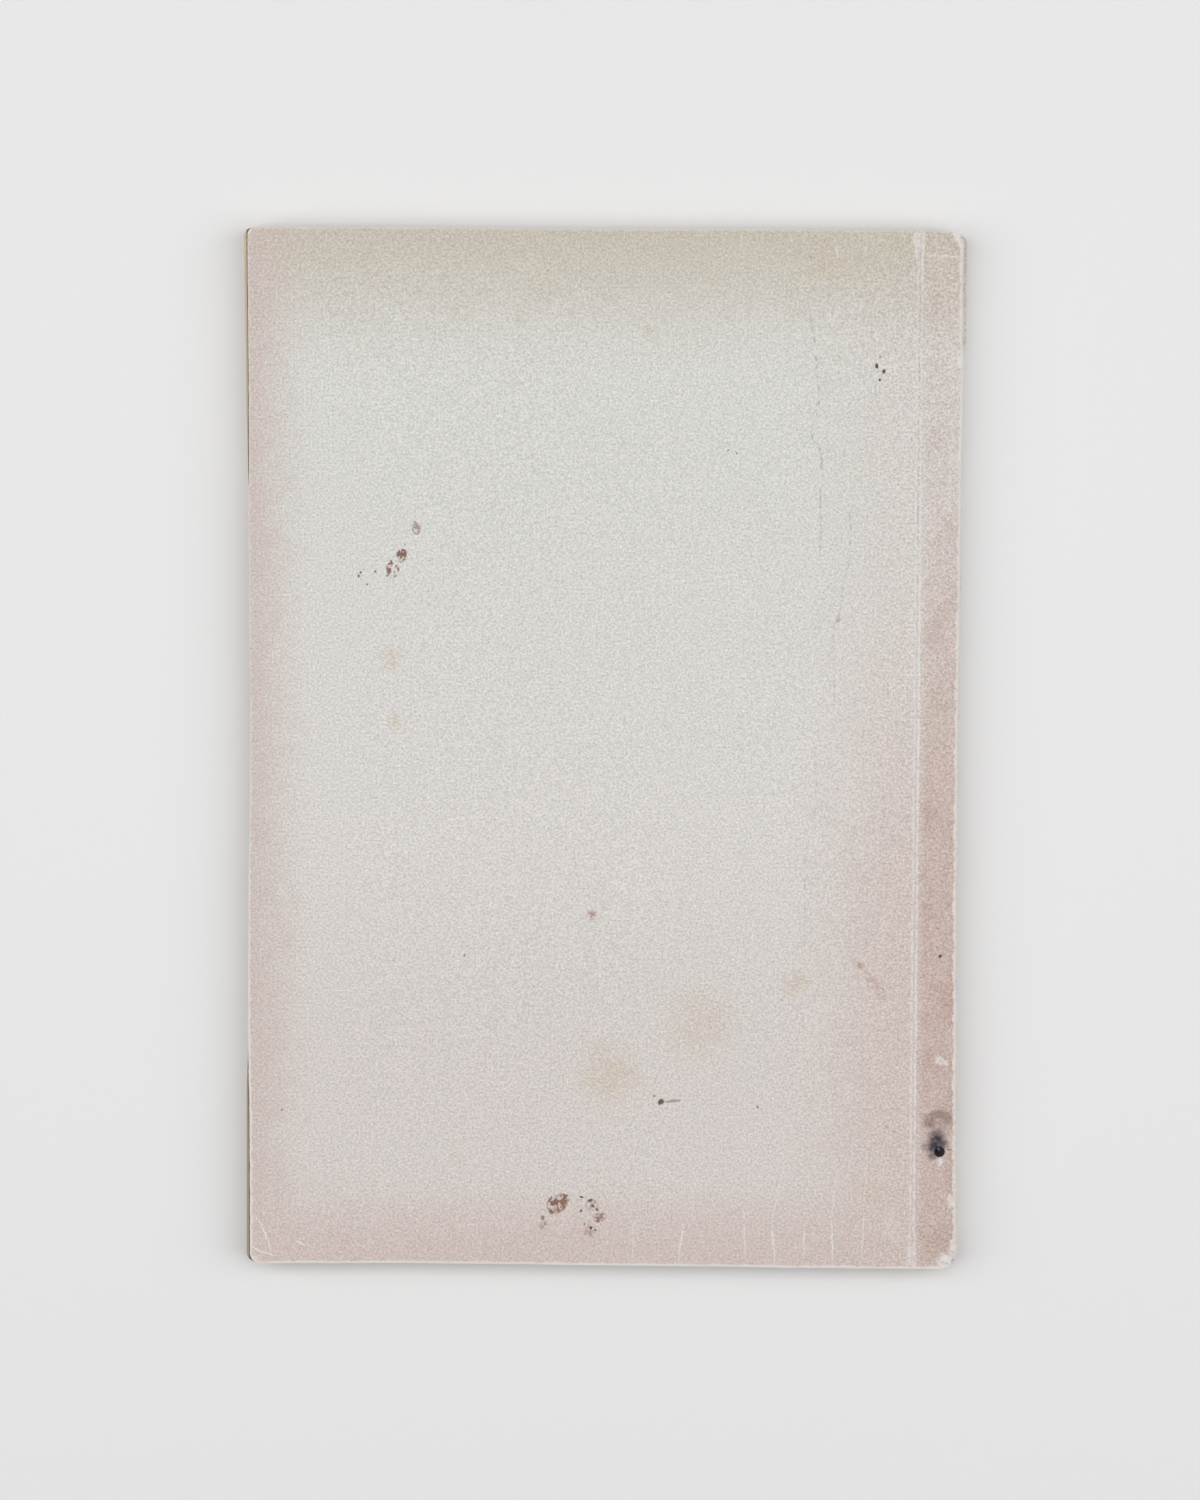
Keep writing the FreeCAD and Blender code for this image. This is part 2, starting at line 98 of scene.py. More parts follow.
# How far each edge has worn or been trimmed back, along the edge
HEAD_DROP = ((-70, 0.05), (-59, 0.0), (-40, 0.0), (-1, 0.2), (37, 0.1), (57, 0.2), (65, 0.35), (70, 0.5))
TAIL_RISE = (
    (-70, 0.85), (-66, 0.62), (-59, 0.68), (-40, 0.76), (-20, 0.66), (0, 0.44), (20, 0.3), (39, 0.08),
    (59, 0.0), (66, 0.02), (70, 0.1),
)
LEAF_FORE = (
    (-101.5, 0.1), (-88, 0.1), (-68, 0.15), (-49, 0.75), (-29, 0.85), (-10, 1.15), (10, 1.25),
    (29, 1.05), (49, 0.85), (68, 0.4), (80, 0.3), (87, 0.1), (101.5, 0.02),
)
BACK_FORE = (
    (-101.5, 0.85), (-88, 0.85), (-70, 0.8), (-62, 0.62), (-49, 0.6), (-29, 0.7), (-10, 1.0), (10, 1.1),
    (29, 0.9), (49, 0.85), (55, 0.98), (68, 0.98), (80, 0.9), (97, 0.78), (101.5, 0.8),
)
SPINE_WEAR = (
    (-101.5, 0.12), (-94, 0.12), (-88, 0.26), (-78, 0.42), (-68, 0.52), (-55, 0.5), (-40, 0.66), (-28, 0.78),
    (-9, 0.76), (10, 0.82), (30, 0.66), (49, 0.68), (68, 0.5), (76, 0.32), (80, 0.6), (88, 0.68), (97, 0.7),
    (101.5, 0.5),
)

# Lines of points across and along each sheet, closer together where it folds, frays or is worn through


def steps(*runs):
    """Places from one run to the next, each run (from, to, how many steps) cut evenly."""
    places = [runs[0][0]]
    for start, stop, count in runs:
        places += [start + (stop - start) * (i + 1) / count for i in range(count)]
    return places


ALONG = steps(
    (TAIL, -98.3, 10), (-98.3, HOLE[1] - HOLE_REACH, 22), (HOLE[1] - HOLE_REACH, HOLE[1] - HOLE_RADIUS, 6),
    (HOLE[1] - HOLE_RADIUS, HOLE[1] + HOLE_RADIUS, 8), (HOLE[1] + HOLE_RADIUS, HOLE[1] + HOLE_REACH, 6),
    (HOLE[1] + HOLE_REACH, 77.0, 190), (77.0, 81.0, 12), (81.0, 98.3, 21), (98.3, HEAD, 10),
)
PANEL_ACROSS = steps(
    (FORE, -68.2, 8), (-68.2, -64, 8), (-64, 58.5, 76), (58.5, 60.0, 3), (60.0, 60.65, 3),
    (60.65, 60.95, 4), (60.95, FOLD, 2),
)
STRIP_ACROSS = steps(
    (FOLD, 61.45, 2), (61.45, 61.75, 4), (61.75, HOLE[0] - HOLE_REACH, 4),
    (HOLE[0] - HOLE_REACH, HOLE[0] - HOLE_RADIUS, 6), (HOLE[0] - HOLE_RADIUS, HOLE[0] + HOLE_RADIUS, 8),
    (HOLE[0] + HOLE_RADIUS, SPINE - BACK_FOLD_RADIUS, 7),
)
LEAF_ACROSS = steps((FORE, -68.2, 4), (-68.2, 65.4, 14), (65.4, LEAVES_SPINE, 6))
LEAF_ALONG = steps((TAIL, -97.5, 8), (-97.5, 99.0, 24), (99.0, HEAD, 6))


def along_edge(table, place):
    """What a table of (place, value) pairs gives at a place, eased between its pairs."""
    if place <= table[0][0]:
        return table[0][1]
    for (a, low), (b, high) in zip(table, table[1:]):
        if place <= b:
            share = (place - a) / (b - a)
            return low + (high - low) * share * share * (3 - 2 * share)
    return table[-1][1]


def eased(value, start, stop):
    """0 at start and 1 at stop, smooth between."""
    share = min(max((value - start) / (stop - start), 0.0), 1.0)
    return share * share * (3 - 2 * share)


def ripple(x, y=0.0, z=0.0):
    """Smooth unevenness from about -1 to 1."""
    return noise.noise(Vector((x, y, z)))


def frayed(place, seed):
    """How unevenly a trimmed edge of card runs, in mm."""
    return 0.05 * ripple(place * 0.35, seed) + 0.035 * ripple(place * 1.3, seed + 9)


def sag(x, y):
    """How far the upper cover lies under its full height."""
    wave = 0.05 + 0.05 * ripple(x / 38, y / 52, 3.1) + 0.03 * ripple(x / 17, y / 23, 7.7)
    hinge = eased(x, 64, 60)
    curl = 0.1 * eased(-x, 40, 60) * eased(abs(y + 10), 100, 20)
    return max(0.0, wave * (0.35 + 0.65 * hinge) + curl)


def rounded_corner(x, y):
    """A place on the square sheet moved to where the worn corners leave it."""
    for side_x, side_y, radius in CORNERS:
        across = (x * side_x - (SPINE - radius)) / radius
        along = (y * side_y - (HEAD - radius)) / radius
        if across > 0 and along > 0:
            pull = max(across, along) / math.hypot(across, along)
            x = side_x * (SPINE - radius + across * pull * radius)
            y = side_y * (HEAD - radius + along * pull * radius)
    return x, y


def trimmed_ends(x, y, inside=0.0):
    """The place after the head and tail edges are trimmed a little out of square."""
    if y > 0:
        return y - (along_edge(HEAD_DROP, x) + inside + frayed(x, 2) * 0.8) * eased(y, 88, HEAD)
    return y + (along_edge(TAIL_RISE, x) + inside + frayed(x, 5)) * eased(-y, 88, HEAD)


def rounded_hole(x, y):
    """Points around the worn hole, drawn in from a square to an uneven ring."""
    dx, dy = x - HOLE[0], y - HOLE[1]
    square = max(abs(dx), abs(dy))
    if square < 1e-6 or square > HOLE_REACH:
        return x, y
    angle = math.atan2(dy, dx)
    uneven = HOLE_RADIUS * (0.14 * ripple(2 * math.cos(angle), 2 * math.sin(angle), 4.4) - 0.04)
    share = min(max((square - HOLE_RADIUS) / (HOLE_REACH - HOLE_RADIUS), 0.0), 1.0)
    straight = math.hypot(dx, dy)
    length = (square + uneven * min(1.0, square / HOLE_RADIUS)) * (1 - share) + straight * share
    return HOLE[0] + dx * length / straight, HOLE[1] + dy * length / straight


def score_dip(x):
    """Depth of the two pressed lines beside the fold."""
    return sum(SCORE_DEPTH * max(0.0, 1 - abs(x - line) / (SCORE_WIDTH / 2)) for line in SCORES)


# Making meshes


def deselect():
    """Nothing is selected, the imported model's own parts included."""
    bpy.ops.object.select_all(action="DESELECT")


def pick(piece):
    """Only this piece is selected and worked on."""
    deselect()
    piece.select_set(True)
    bpy.context.view_layer.objects.active = piece


def pressed_sheet(name, across, along, place, rim=None):
    """A flat grid whose points are pressed to place(across, along), in mm, with its rim distances kept."""
    deselect()
    bpy.ops.mesh.primitive_grid_add(x_subdivisions=len(across) - 1, y_subdivisions=len(along) - 1, size=1)
    sheet = bpy.context.object
    sheet.name = name
    near = sheet.data.attributes.new("rim", "FLOAT", "POINT")
    for point in sheet.data.vertices:
        u = across[round((point.co.x + 0.5) * (len(across) - 1))]
        v = along[round((point.co.y + 0.5) * (len(along) - 1))]
        near.data[point.index].value = rim(u, v) if rim else 9.0
        point.co = Vector(place(u, v)) * MM
    return sheet


def cut_away(piece, doomed):
    """Removes the faces whose middle, in mm, is where doomed says."""
    pick(piece)
    bpy.ops.object.mode_set(mode="EDIT")
    bpy.ops.mesh.select_mode(type="FACE")
    bpy.ops.mesh.select_all(action="DESELECT")
    bpy.ops.object.mode_set(mode="OBJECT")
    for face in piece.data.polygons:
        face.select = doomed(face.center / MM)
    bpy.ops.object.mode_set(mode="EDIT")
    bpy.ops.mesh.delete(type="FACE")
    bpy.ops.object.mode_set(mode="OBJECT")


def thicken(piece, thickness, group="", least=0.0):
    """Gives a sheet its thickness on its inner side."""
    pick(piece)
    wall = piece.modifiers.new("wall", "SOLIDIFY")
    wall.thickness = thickness * MM
    wall.offset = -1
    wall.use_even_offset = True
    wall.use_quality_normals = True
    if group:
        wall.vertex_group = group
        wall.thickness_vertex_group = least
    bpy.ops.object.modifier_apply(modifier=wall.name)


def finish_piece(piece, material, node, angle=40):
    """Smooths the piece, keeps its places at rest for its material, and hides the model's part that it stands
    for.
    """
    pick(piece)
    bpy.ops.object.shade_smooth_by_angle(angle=math.radians(angle))
    rest = piece.data.attributes.new("rest", "FLOAT_VECTOR", "POINT")
    for point in piece.data.vertices:
        rest.data[point.index].vector = point.co / MM
    piece.data.materials.clear()
    piece.data.materials.append(material)
    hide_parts(node)
    return piece


# The cover card: two panels and the wrap round the spine


def panel_rim(x, y):
    """Distance to the nearest worn edge of a panel."""
    return min(x - FORE, HEAD - y, y - TAIL)


def back_panel_place(x, y):
    """A point of the back cover's outer face."""
    x, y = rounded_corner(x, y)
    edge = eased(-x, 62, 70)
    worn = x + (along_edge(BACK_FORE, y) + frayed(y, 11) + 0.05 * ripple(y * 2.6, 1.5)) * edge
    z = TOP - sag(x, y) - score_dip(x)
    z -= 0.05 * eased(-x, 69.4, 70) + 0.05 * eased(abs(y), 100.9, 101.5)
    return worn, trimmed_ends(x, y), z


def front_panel_place(x, y):
    """A point of the front cover's outer face, which lies on the floor."""
    x, y = rounded_corner(x, y)
    edge = eased(-x, 62, 70)
    worn = x + (along_edge(LEAF_FORE, y) * 0.95 + frayed(y, 31)) * edge
    z = score_dip(x) + 0.04 * eased(-x, 69.3, 70) + 0.04 * eased(abs(y), 100.9, 101.5)
    return worn, trimmed_ends(x, y), z


def make_wrap_line():
    """The wrap's outer line from the back strip round the spine to the front strip: (x, z) points."""
    line = [(x, TOP) for x in STRIP_ACROSS[:-1]]
    for i in range(9):
        turn = math.radians(90 * i / 8)
        across = SPINE - BACK_FOLD_RADIUS * (1 - math.sin(turn))
        line.append((across, TOP - BACK_FOLD_RADIUS * (1 - math.cos(turn))))
    flat = steps((TOP - BACK_FOLD_RADIUS, FRONT_FOLD_RADIUS, 18))
    line += [(SPINE, z) for z in flat[1:-1]]
    for i in range(7):
        turn = math.radians(90 * i / 6)
        across = SPINE - FRONT_FOLD_RADIUS * (1 - math.cos(turn))
        line.append((across, FRONT_FOLD_RADIUS * (1 - math.sin(turn))))
    under = steps((SPINE - FRONT_FOLD_RADIUS, 61.75, 8), (61.75, 61.45, 4), (61.45, FOLD, 2))
    return line + [(x, 0.0) for x in under[1:]]


WRAP_LINE = make_wrap_line()


def spine_bulge(y, z):
    """How much less the lower spine has worn near the head, where it shows past the upper fold."""
    return 0.66 * eased(y, 77.6, 79.4) * eased(z, 4.5, 4.2) * eased(-y, -101.6, -99.5)


def spine_rub(y):
    """How unevenly the spine has rubbed along its length."""
    return 0.1 * ripple(y * 0.16, 21.3) + 0.08 * ripple(y * 0.45, 5.9) + 0.05 * ripple(y * 1.2, 30.1)


def wrapped(x, y, z):
    """A point of the wrap after wear, in place."""
    plan_x, y = rounded_corner(x, y)
    plan_x, y = rounded_hole(plan_x, y) if z > TOP - 0.01 else (plan_x, y)
    near_spine = eased(plan_x, 62, 69.2)
    rub = spine_rub(y) + 0.05 * ripple(y * 0.8, z * 1.4, 2.2)
    worn = along_edge(SPINE_WEAR, y) - spine_bulge(y, z) + rub
    plan_x -= max(0.02, worn) * near_spine
    if z > TOP / 2:
        z -= (sag(plan_x, y) + score_dip(x)) * eased(z, 4.4, TOP)
        z -= 0.06 * (0.5 + ripple(y * 0.5, 8.8)) * eased(x, 68.4, 69.4) * eased(z, 4.6, TOP)
    else:
        z += score_dip(x) * (z < 0.01)
    return plan_x, trimmed_ends(plan_x, y), z


def wrap_place(index, y):
    """A point of the wrap's outer face."""
    x, z = WRAP_LINE[int(index)]
    return wrapped(x, y, z)


def wrap_rim(index, y):
    """Distance to the nearest trimmed end of the wrap."""
    return min(HEAD - y, y - TAIL)


def in_hole(middle, past=0.0):
    """Whether a place on the upper side lies in the worn hole."""
    away = math.hypot(middle.x - HOLE[0], middle.y - HOLE[1])
    return middle.z > TOP / 2 and away < HOLE_RADIUS * 0.93 + past


def glue_place(index, y):
    """A point of the glue's outer face, against the inside of the wrap."""
    x, z = WRAP_LINE[int(index)]
    inner = CARD + 0.01
    x -= inner * eased(x, 69.0, SPINE)
    z = min(max(z, inner), TOP - inner)
    plan_x, y = rounded_corner(x, y)
    plan_x, y = rounded_hole(plan_x, y) if z > 5.6 else (plan_x, y)
    worn = max(0.02, along_edge(SPINE_WEAR, y) - spine_bulge(y, z) + spine_rub(y))
    plan_x -= worn * eased(plan_x, 62, 69.2)
    if z > TOP / 2:
        z -= sag(plan_x, y) * eased(z, 4.4, TOP)
    return plan_x, trimmed_ends(plan_x, y, 0.12 + 0.1 * ripple(z * 2.1, x, 6.1)), z


def make_glue(material):
    """The dried glue between the leaves' backs and the wrap."""
    columns = [i for i, (x, z) in enumerate(WRAP_LINE) if x > 61.95]
    sheet = pressed_sheet("spine_glue", columns, ALONG, glue_place)
    cut_away(sheet, lambda middle: in_hole(middle, 0.02))
    bed = sheet.vertex_groups.new(name="bed")
    for point in sheet.data.vertices:
        height = point.co.z / MM
        bed.add([point.index], eased(min(height, TOP - height), CARD + 0.05, CARD + 0.5), "REPLACE")
    thicken(sheet, GLUE, "bed", 0.23)
    sheet.vertex_groups.clear()
    return finish_piece(sheet, material, "binding_glue")


# The leaves


def leaf_sheet():
    """One leaf with the ways that the staples' legs take through it."""
    leaf = pressed_sheet("leaf", LEAF_ACROSS, LEAF_ALONG, lambda x, y: (*rounded_corner(x, y), 0.0))
    thicken(leaf, (LEAVES_HIGH - LEAVES_LOW) / LEAF_COUNT - 0.012)
    for y in STAPLE_LEGS:
        cut_way(leaf, (STITCH_X, y, 0.0), (WAY_WIDTH, LEG_WAY, THROUGH))
    return leaf


def cut_way(leaf, middle, size, round_way=False):
    """Cuts a straight-sided or round way through a leaf."""
    deselect()
    if round_way:
        bpy.ops.mesh.primitive_cylinder_add(vertices=20, radius=size[0] / 2 * MM, depth=size[2] * MM)
    else:
        bpy.ops.mesh.primitive_cube_add(size=1, scale=Vector(size) * MM)
    cutter = bpy.context.object
    cutter.location = Vector(middle) * MM
    pick(leaf)
    cut = leaf.modifiers.new("way", "BOOLEAN")
    cut.operation = "DIFFERENCE"
    cut.solver = "EXACT"
    cut.object = cutter
    bpy.ops.object.modifier_apply(modifier=cut.name)
    bpy.data.objects.remove(cutter, do_unlink=True)


def settle_leaf(leaf, index):
    """Moves a copied leaf to its place in the block, a little uneven at its edges."""
    height = LEAVES_LOW + (LEAVES_HIGH - LEAVES_LOW) * (index + 1) / LEAF_COUNT - 0.006
    share = (index + 1) / LEAF_COUNT
    fore = 0.05 * ripple(index * 0.7, 3.3) + 0.045 * ripple(index * 5.3, 1.1)
    ends = 0.05 * ripple(index * 4.1, 7.7)
    for point in leaf.data.vertices:
        x, y, z = point.co / MM
        out = eased(-x, 60, 70)
        drift = 0.05 * ripple(y / 14, index * 0.9, 5.5)
        new_x = x + (along_edge(LEAF_FORE, y) + 0.06 + fore + drift) * out
        new_x -= max(0.1, along_edge(SPINE_WEAR, y) - spine_bulge(y, height) + 0.16) * eased(x, 62, 69.2)
        slip = (0.09 + ends + 0.03 * ripple(x / 12, index * 1.3, 2.5)) * eased(abs(y), 92, 101.5)
        new_y = trimmed_ends(x, y, slip)
        drop = sag(x, y) * share
        point.co = Vector((new_x, new_y, z + height - drop)) * MM


def make_leaves(material):
    """Forty leaves in a block, trimmed together and cut for the wire."""
    plain = leaf_sheet()
    under_crown = copy_piece(plain)
    over_clinch = copy_piece(plain)
    for y in STAPLES:
        cut_way(under_crown, (STITCH_X, y, 0.0), (WAY_WIDTH, CROWN_WAY, THROUGH))
        for side in (-1, 1):
            cut_way(over_clinch, (STITCH_X, y + side * CLINCH_OFF, 0.0), (WAY_WIDTH, CLINCH_WAY, THROUGH))
    over_hole = copy_piece(over_clinch)
    cut_way(over_hole, (HOLE[0], HOLE[1], 0.0), (1.66, 1.66, THROUGH), True)
    leaves = []
    for index in range(LEAF_COUNT):
        kind = plain
        if index < 4:
            kind = under_crown
        elif index >= LEAF_COUNT - 4:
            kind = over_clinch if index < LEAF_COUNT - 3 else over_hole
        leaf = copy_piece(kind)
        settle_leaf(leaf, index)
        leaves.append(leaf)
    for model in (plain, under_crown, over_clinch, over_hole):
        bpy.data.objects.remove(model, do_unlink=True)
    deselect()
    for leaf in leaves:
        leaf.select_set(True)
    bpy.context.view_layer.objects.active = leaves[0]
    bpy.ops.object.join()
    block = bpy.context.object
    block.name = "leaves"
    return finish_piece(block, material, "text_block", 30)


def copy_piece(piece):
    """A copy with its own mesh."""
    copy = piece.copy()
    copy.data = piece.data.copy()
    bpy.context.scene.collection.objects.link(copy)
    return copy


# Materials


def paint(red, green, blue):
    """A colour given as it looks on screen, 0 to 255."""
    shares = [channel / 255 for channel in (red, green, blue)]
    return (*(c / 12.92 if c <= 0.04045 else ((c + 0.055) / 1.055) ** 2.4 for c in shares), 1.0)


class Finish:
    """One material's nodes. Each call adds a node and gives what comes out of it."""

    def __init__(self, name, roughness=0.8):
        self.material = bpy.data.materials.new(name)
        self.material.use_nodes = True
        self.tree = self.material.node_tree
        self.shader = self.tree.nodes["Principled BSDF"]
        self.shader.inputs["Roughness"].default_value = roughness

    def add(self, kind, *inputs, **settings):
        """A node of a kind, its first sockets fed in order; None leaves a socket alone."""
        node = self.tree.nodes.new(kind)
        for key, value in settings.items():
            setattr(node, key, value)
        for socket, value in zip(node.inputs, inputs):
            self.feed(socket, value)
        return node

    def feed(self, socket, value):
        """Links an output to a socket, or sets its number."""
        if value is None:
            return
        if isinstance(value, bpy.types.NodeSocket):
            self.tree.links.new(value, socket)
        else:
            socket.default_value = value

    def place(self):
        """Places at rest, in mm."""
        return self.add("ShaderNodeAttribute", attribute_name="rest").outputs["Vector"]

    def kept(self, name):
        """A value kept on the piece's points."""
        return self.add("ShaderNodeAttribute", attribute_name=name).outputs["Fac"]

    def sum(self, operation, a, b=None, c=None):
        """One operation on numbers."""
        return self.add("ShaderNodeMath", a, b, c, operation=operation).outputs[0]

    def ramp(self, value, start, stop, low=0.0, high=1.0, kind="SMOOTHSTEP"):
        """Goes from low at start to high at stop."""
        if start > stop:
            start, stop, low, high = stop, start, high, low
        settings = {"interpolation_type": kind, "clamp": True}
        return self.add("ShaderNodeMapRange", value, start, stop, low, high, **settings).outputs[0]

    def cloud(self, place, size, detail=2.0, rough=0.5):
        """Uneven noise whose patches are about size mm wide."""
        node = self.add("ShaderNodeTexNoise")
        self.feed(node.inputs["Vector"], place)
        node.inputs["Scale"].default_value = 1.0 / size
        node.inputs["Detail"].default_value = detail
        node.inputs["Roughness"].default_value = rough
        return node

    def tint(self, base, top, amount, blend="MIX"):
        """Lays a colour over another by an amount."""
        node = self.tree.nodes.new("ShaderNodeMix")
        node.data_type = "RGBA"
        node.blend_type = blend
        self.feed(node.inputs["Factor"], amount)
        self.feed(node.inputs[6], base)
        self.feed(node.inputs[7], top)
        return node.outputs[2]

    def shifted(self, place, cloud, reach):
        """Places pushed about by a cloud, so that a drawn mark's edge wanders."""
        colour, grey = cloud.outputs["Color"], (0.5, 0.5, 0.5)
        middle = self.add("ShaderNodeVectorMath", colour, grey, operation="SUBTRACT")
        push = self.add("ShaderNodeVectorMath", middle.outputs[0], operation="SCALE")
        push.inputs["Scale"].default_value = reach
        return self.add("ShaderNodeVectorMath", place, push.outputs[0], operation="ADD").outputs[0]

    def away(self, place, x, y):
        """Distance from a place on the upper face."""
        return self.add("ShaderNodeVectorMath", place, (x, y, FACE), operation="DISTANCE").outputs["Value"]

    def marks(self, place, marks, core=0.35):
        """The strongest of many drawn marks: (x, y, half width, half length, turn in degrees, strength)."""
        total = None
        for x, y, wide, long, turn, strength in marks:
            if wide >= long:
                shade = self.ramp(self.away(place, x, y), wide, wide * core, 0.0, strength)
            else:
                reach = math.sqrt(long * long - wide * wide)
                dx, dy = -reach * math.sin(math.radians(turn)), reach * math.cos(math.radians(turn))
                both = self.sum("ADD", self.away(place, x + dx, y + dy), self.away(place, x - dx, y - dy))
                shade = self.ramp(both, 2 * long, 2 * (reach + (long - reach) * core), 0.0, strength)
            total = shade if total is None else self.sum("MAXIMUM", total, shade)
        return total if total is not None else 0.0

    def lane(self, x, y, points, half_width, strength=1.0):
        """A thin crack along (y, x) points, from its first point to its last."""
        low = min(p[1] for p in points) - 1
        span = max(p[1] for p in points) + 1 - low
        first, last = min(p[0] for p in points), max(p[0] for p in points)
        node = self.add("ShaderNodeFloatCurve")
        curve = node.mapping.curves[0]
        ordered = sorted(points)
        while len(curve.points) < len(ordered):
            curve.points.new(0.5, 0.5)
        for knot, (py, px) in zip(sorted(curve.points, key=lambda k: k.location.x), ordered):
            knot.location = ((py - TAIL) / (HEAD - TAIL), (px - low) / span)
        node.mapping.update()
        self.feed(node.inputs["Value"], self.ramp(y, TAIL, HEAD, kind="LINEAR"))
        line = self.sum("MULTIPLY_ADD", node.outputs[0], span, low)
        away = self.sum("ABSOLUTE", self.sum("SUBTRACT", x, line))
        inside = self.sum("MULTIPLY", self.ramp(y, first, first + 2), self.ramp(y, last, last - 2))
        return self.sum("MULTIPLY", self.ramp(away, half_width, half_width * 0.2, 0, strength), inside)

    def raise_by(self, height, depth):
        """Bump of a depth in mm."""
        node = self.add("ShaderNodeBump")
        node.inputs["Distance"].default_value = depth * MM
        self.feed(node.inputs["Height"], height)
        self.feed(self.shader.inputs["Normal"], node.outputs[0])


# Marks on the upper face: (x, y, half width, half length, turn in degrees, strength)
SMEARS = (
    (-39.4, 38.2, 1.4, 1.6, -15, 1.0), (-41.8, 35.7, 0.7, 1.7, -13, 1.0), (-40.4, 35.2, 0.55, 1.3, -11, 0.9),
    (-8.5, -88.9, 1.7, 2.7, -41, 1.0), (-9.8, -88.5, 1.0, 1.8, -30, 1.0), (0.1, -91.4, 0.9, 0.9, 0, 1.0),
    (-1.1, -91.6, 0.8, 1.1, 20, 0.9), (-11.9, -91.8, 0.6, 0.8, -45, 0.8), (-2.4, -94.2, 1.6, 1.6, 0, 0.45),
    (-2.0, -89.2, 1.6, 1.6, 0, 0.45), (-11.6, -93.0, 1.3, 1.3, 0, 0.4), (-36.6, 43.6, 1.0, 1.4, 10, 0.7),
)
GRIME = (
    (-47.4, 34.9, 0.36, 0.36, 0, 1.0), (-47.8, 34.2, 0.36, 0.36, 0, 0.9), (-44.5, 35.0, 0.28, 0.28, 0, 0.9),
    (-46.1, 32.6, 0.3, 0.3, 0, 0.9), (-38.7, 40.2, 0.26, 0.26, 0, 0.7), (-33.9, 37.3, 0.31, 0.31, 0, 0.4),
    (-4.0, -87.5, 0.28, 0.42, -90, 0.9), (-2.3, -88.1, 0.3, 0.55, -68, 0.9), (-1.8, -89.3, 0.38, 0.38, 0, 0.9),
    (-1.1, -90.0, 0.34, 0.34, 0, 0.9), (-4.2, -90.3, 0.34, 0.34, 0, 0.9), (-3.5, -92.8, 0.26, 0.26, 0, 0.8),
    (-2.1, -93.6, 0.42, 0.42, 0, 1.0), (-1.2, -94.0, 0.28, 0.28, 0, 0.9), (-11.2, -92.9, 0.36, 0.36, 0, 0.8),
    (11.5, -68.6, 0.85, 0.85, 0, 0.95), (13.8, -68.5, 0.3, 1.77, -87, 0.5), (10.1, -67.5, 0.31, 0.31, 0, 0.7),
    (30.3, -69.7, 0.35, 0.35, 0, 0.8), (52.5, 75.2, 0.42, 0.55, 20, 1.0), (53.9, 74.1, 0.55, 0.5, 40, 1.0),
    (53.2, 72.4, 0.36, 0.42, 10, 1.0), (53.2, 76.9, 0.28, 0.28, 0, 0.6), (24.0, 58.8, 0.29, 0.29, 0, 0.6),
    (25.6, 58.3, 0.31, 0.31, 0, 0.6), (65.9, -39.7, 0.43, 0.43, 0, 1.0), (-27.0, -39.8, 0.35, 0.35, 0, 0.6),
    (-62.8, -70.5, 0.35, 0.35, 0, 0.6), (45.4, 26.0, 0.59, 0.59, 0, 0.4), (-11.1, 93.4, 0.27, 0.27, 0, 0.5),
)
RUST = (
    (39.9, 96.3, 0.69, 0.69, 0, 0.7), (50.2, -41.7, 1.18, 1.18, 0, 0.6),
    (53.4, -45.6, 1.18, 3.94, 37, 0.3), (55.8, -73.4, 0.63, 0.63, 0, 0.5),
    (57.2, -74.4, 0.71, 0.71, 0, 0.5), (-2.2, -32.0, 1.37, 1.37, 0, 0.8),
    (-2.6, -31.3, 0.78, 0.78, 0, 0.5), (65.5, -1.2, 0.39, 0.39, 0, 0.4), (65.9, 22.1, 0.35, 0.35, 0, 0.4),
    (64.3, 87.9, 0.39, 0.39, 0, 0.4),
)
FOXING = (
    (1.4, -63.3, 9.02, 9.02, 0, 0.55), (19.0, -52.8, 9.80, 9.80, 0, 0.45),
    (8.6, 81.9, 2.55, 2.55, 0, 0.55), (-41.3, 18.3, 3.33, 3.33, 0, 0.6),
    (-34.9, 20.8, 1.57, 1.57, 0, 0.45), (-40.7, 5.8, 2.35, 2.35, 0, 0.5),
    (-28.9, -80.2, 2.74, 2.74, 0, 0.35), (52.9, -85.9, 4.31, 4.31, 0, 0.35),
    (37.6, -45.5, 3.92, 3.92, 0, 0.5), (43.4, 95.2, 5.10, 5.10, 0, 0.35),
    (-12.7, 89.6, 3.53, 3.53, 0, 0.3),
)
WIRE_STAIN = (
    (65.5, -76.0, 2.5, 2.5, 0, 1.0), (65.0, -77.3, 2.4, 2.4, 0, 1.0), (66.5, -76.9, 1.9, 1.9, 0, 0.95),
    (64.7, -79.0, 1.5, 1.5, 0, 0.7), (63.4, -77.3, 1.3, 1.3, 0, 0.5), (66.0, -74.8, 1.4, 1.4, 0, 0.5),
    (68.2, -77.9, 0.2, 1.1, 90, 0.7),
)
WIRE_HALO = (
    (64.2, -72.3, 2.1, 2.1, 0, 0.95), (67.6, -71.7, 1.8, 1.8, 0, 0.75), (65.9, -71.0, 1.2, 2.4, -88, 0.65),
    (65.3, -74.0, 2.3, 2.3, 0, 0.5), (65.9, -72.8, 3.4, 3.4, 0, 0.3),
)
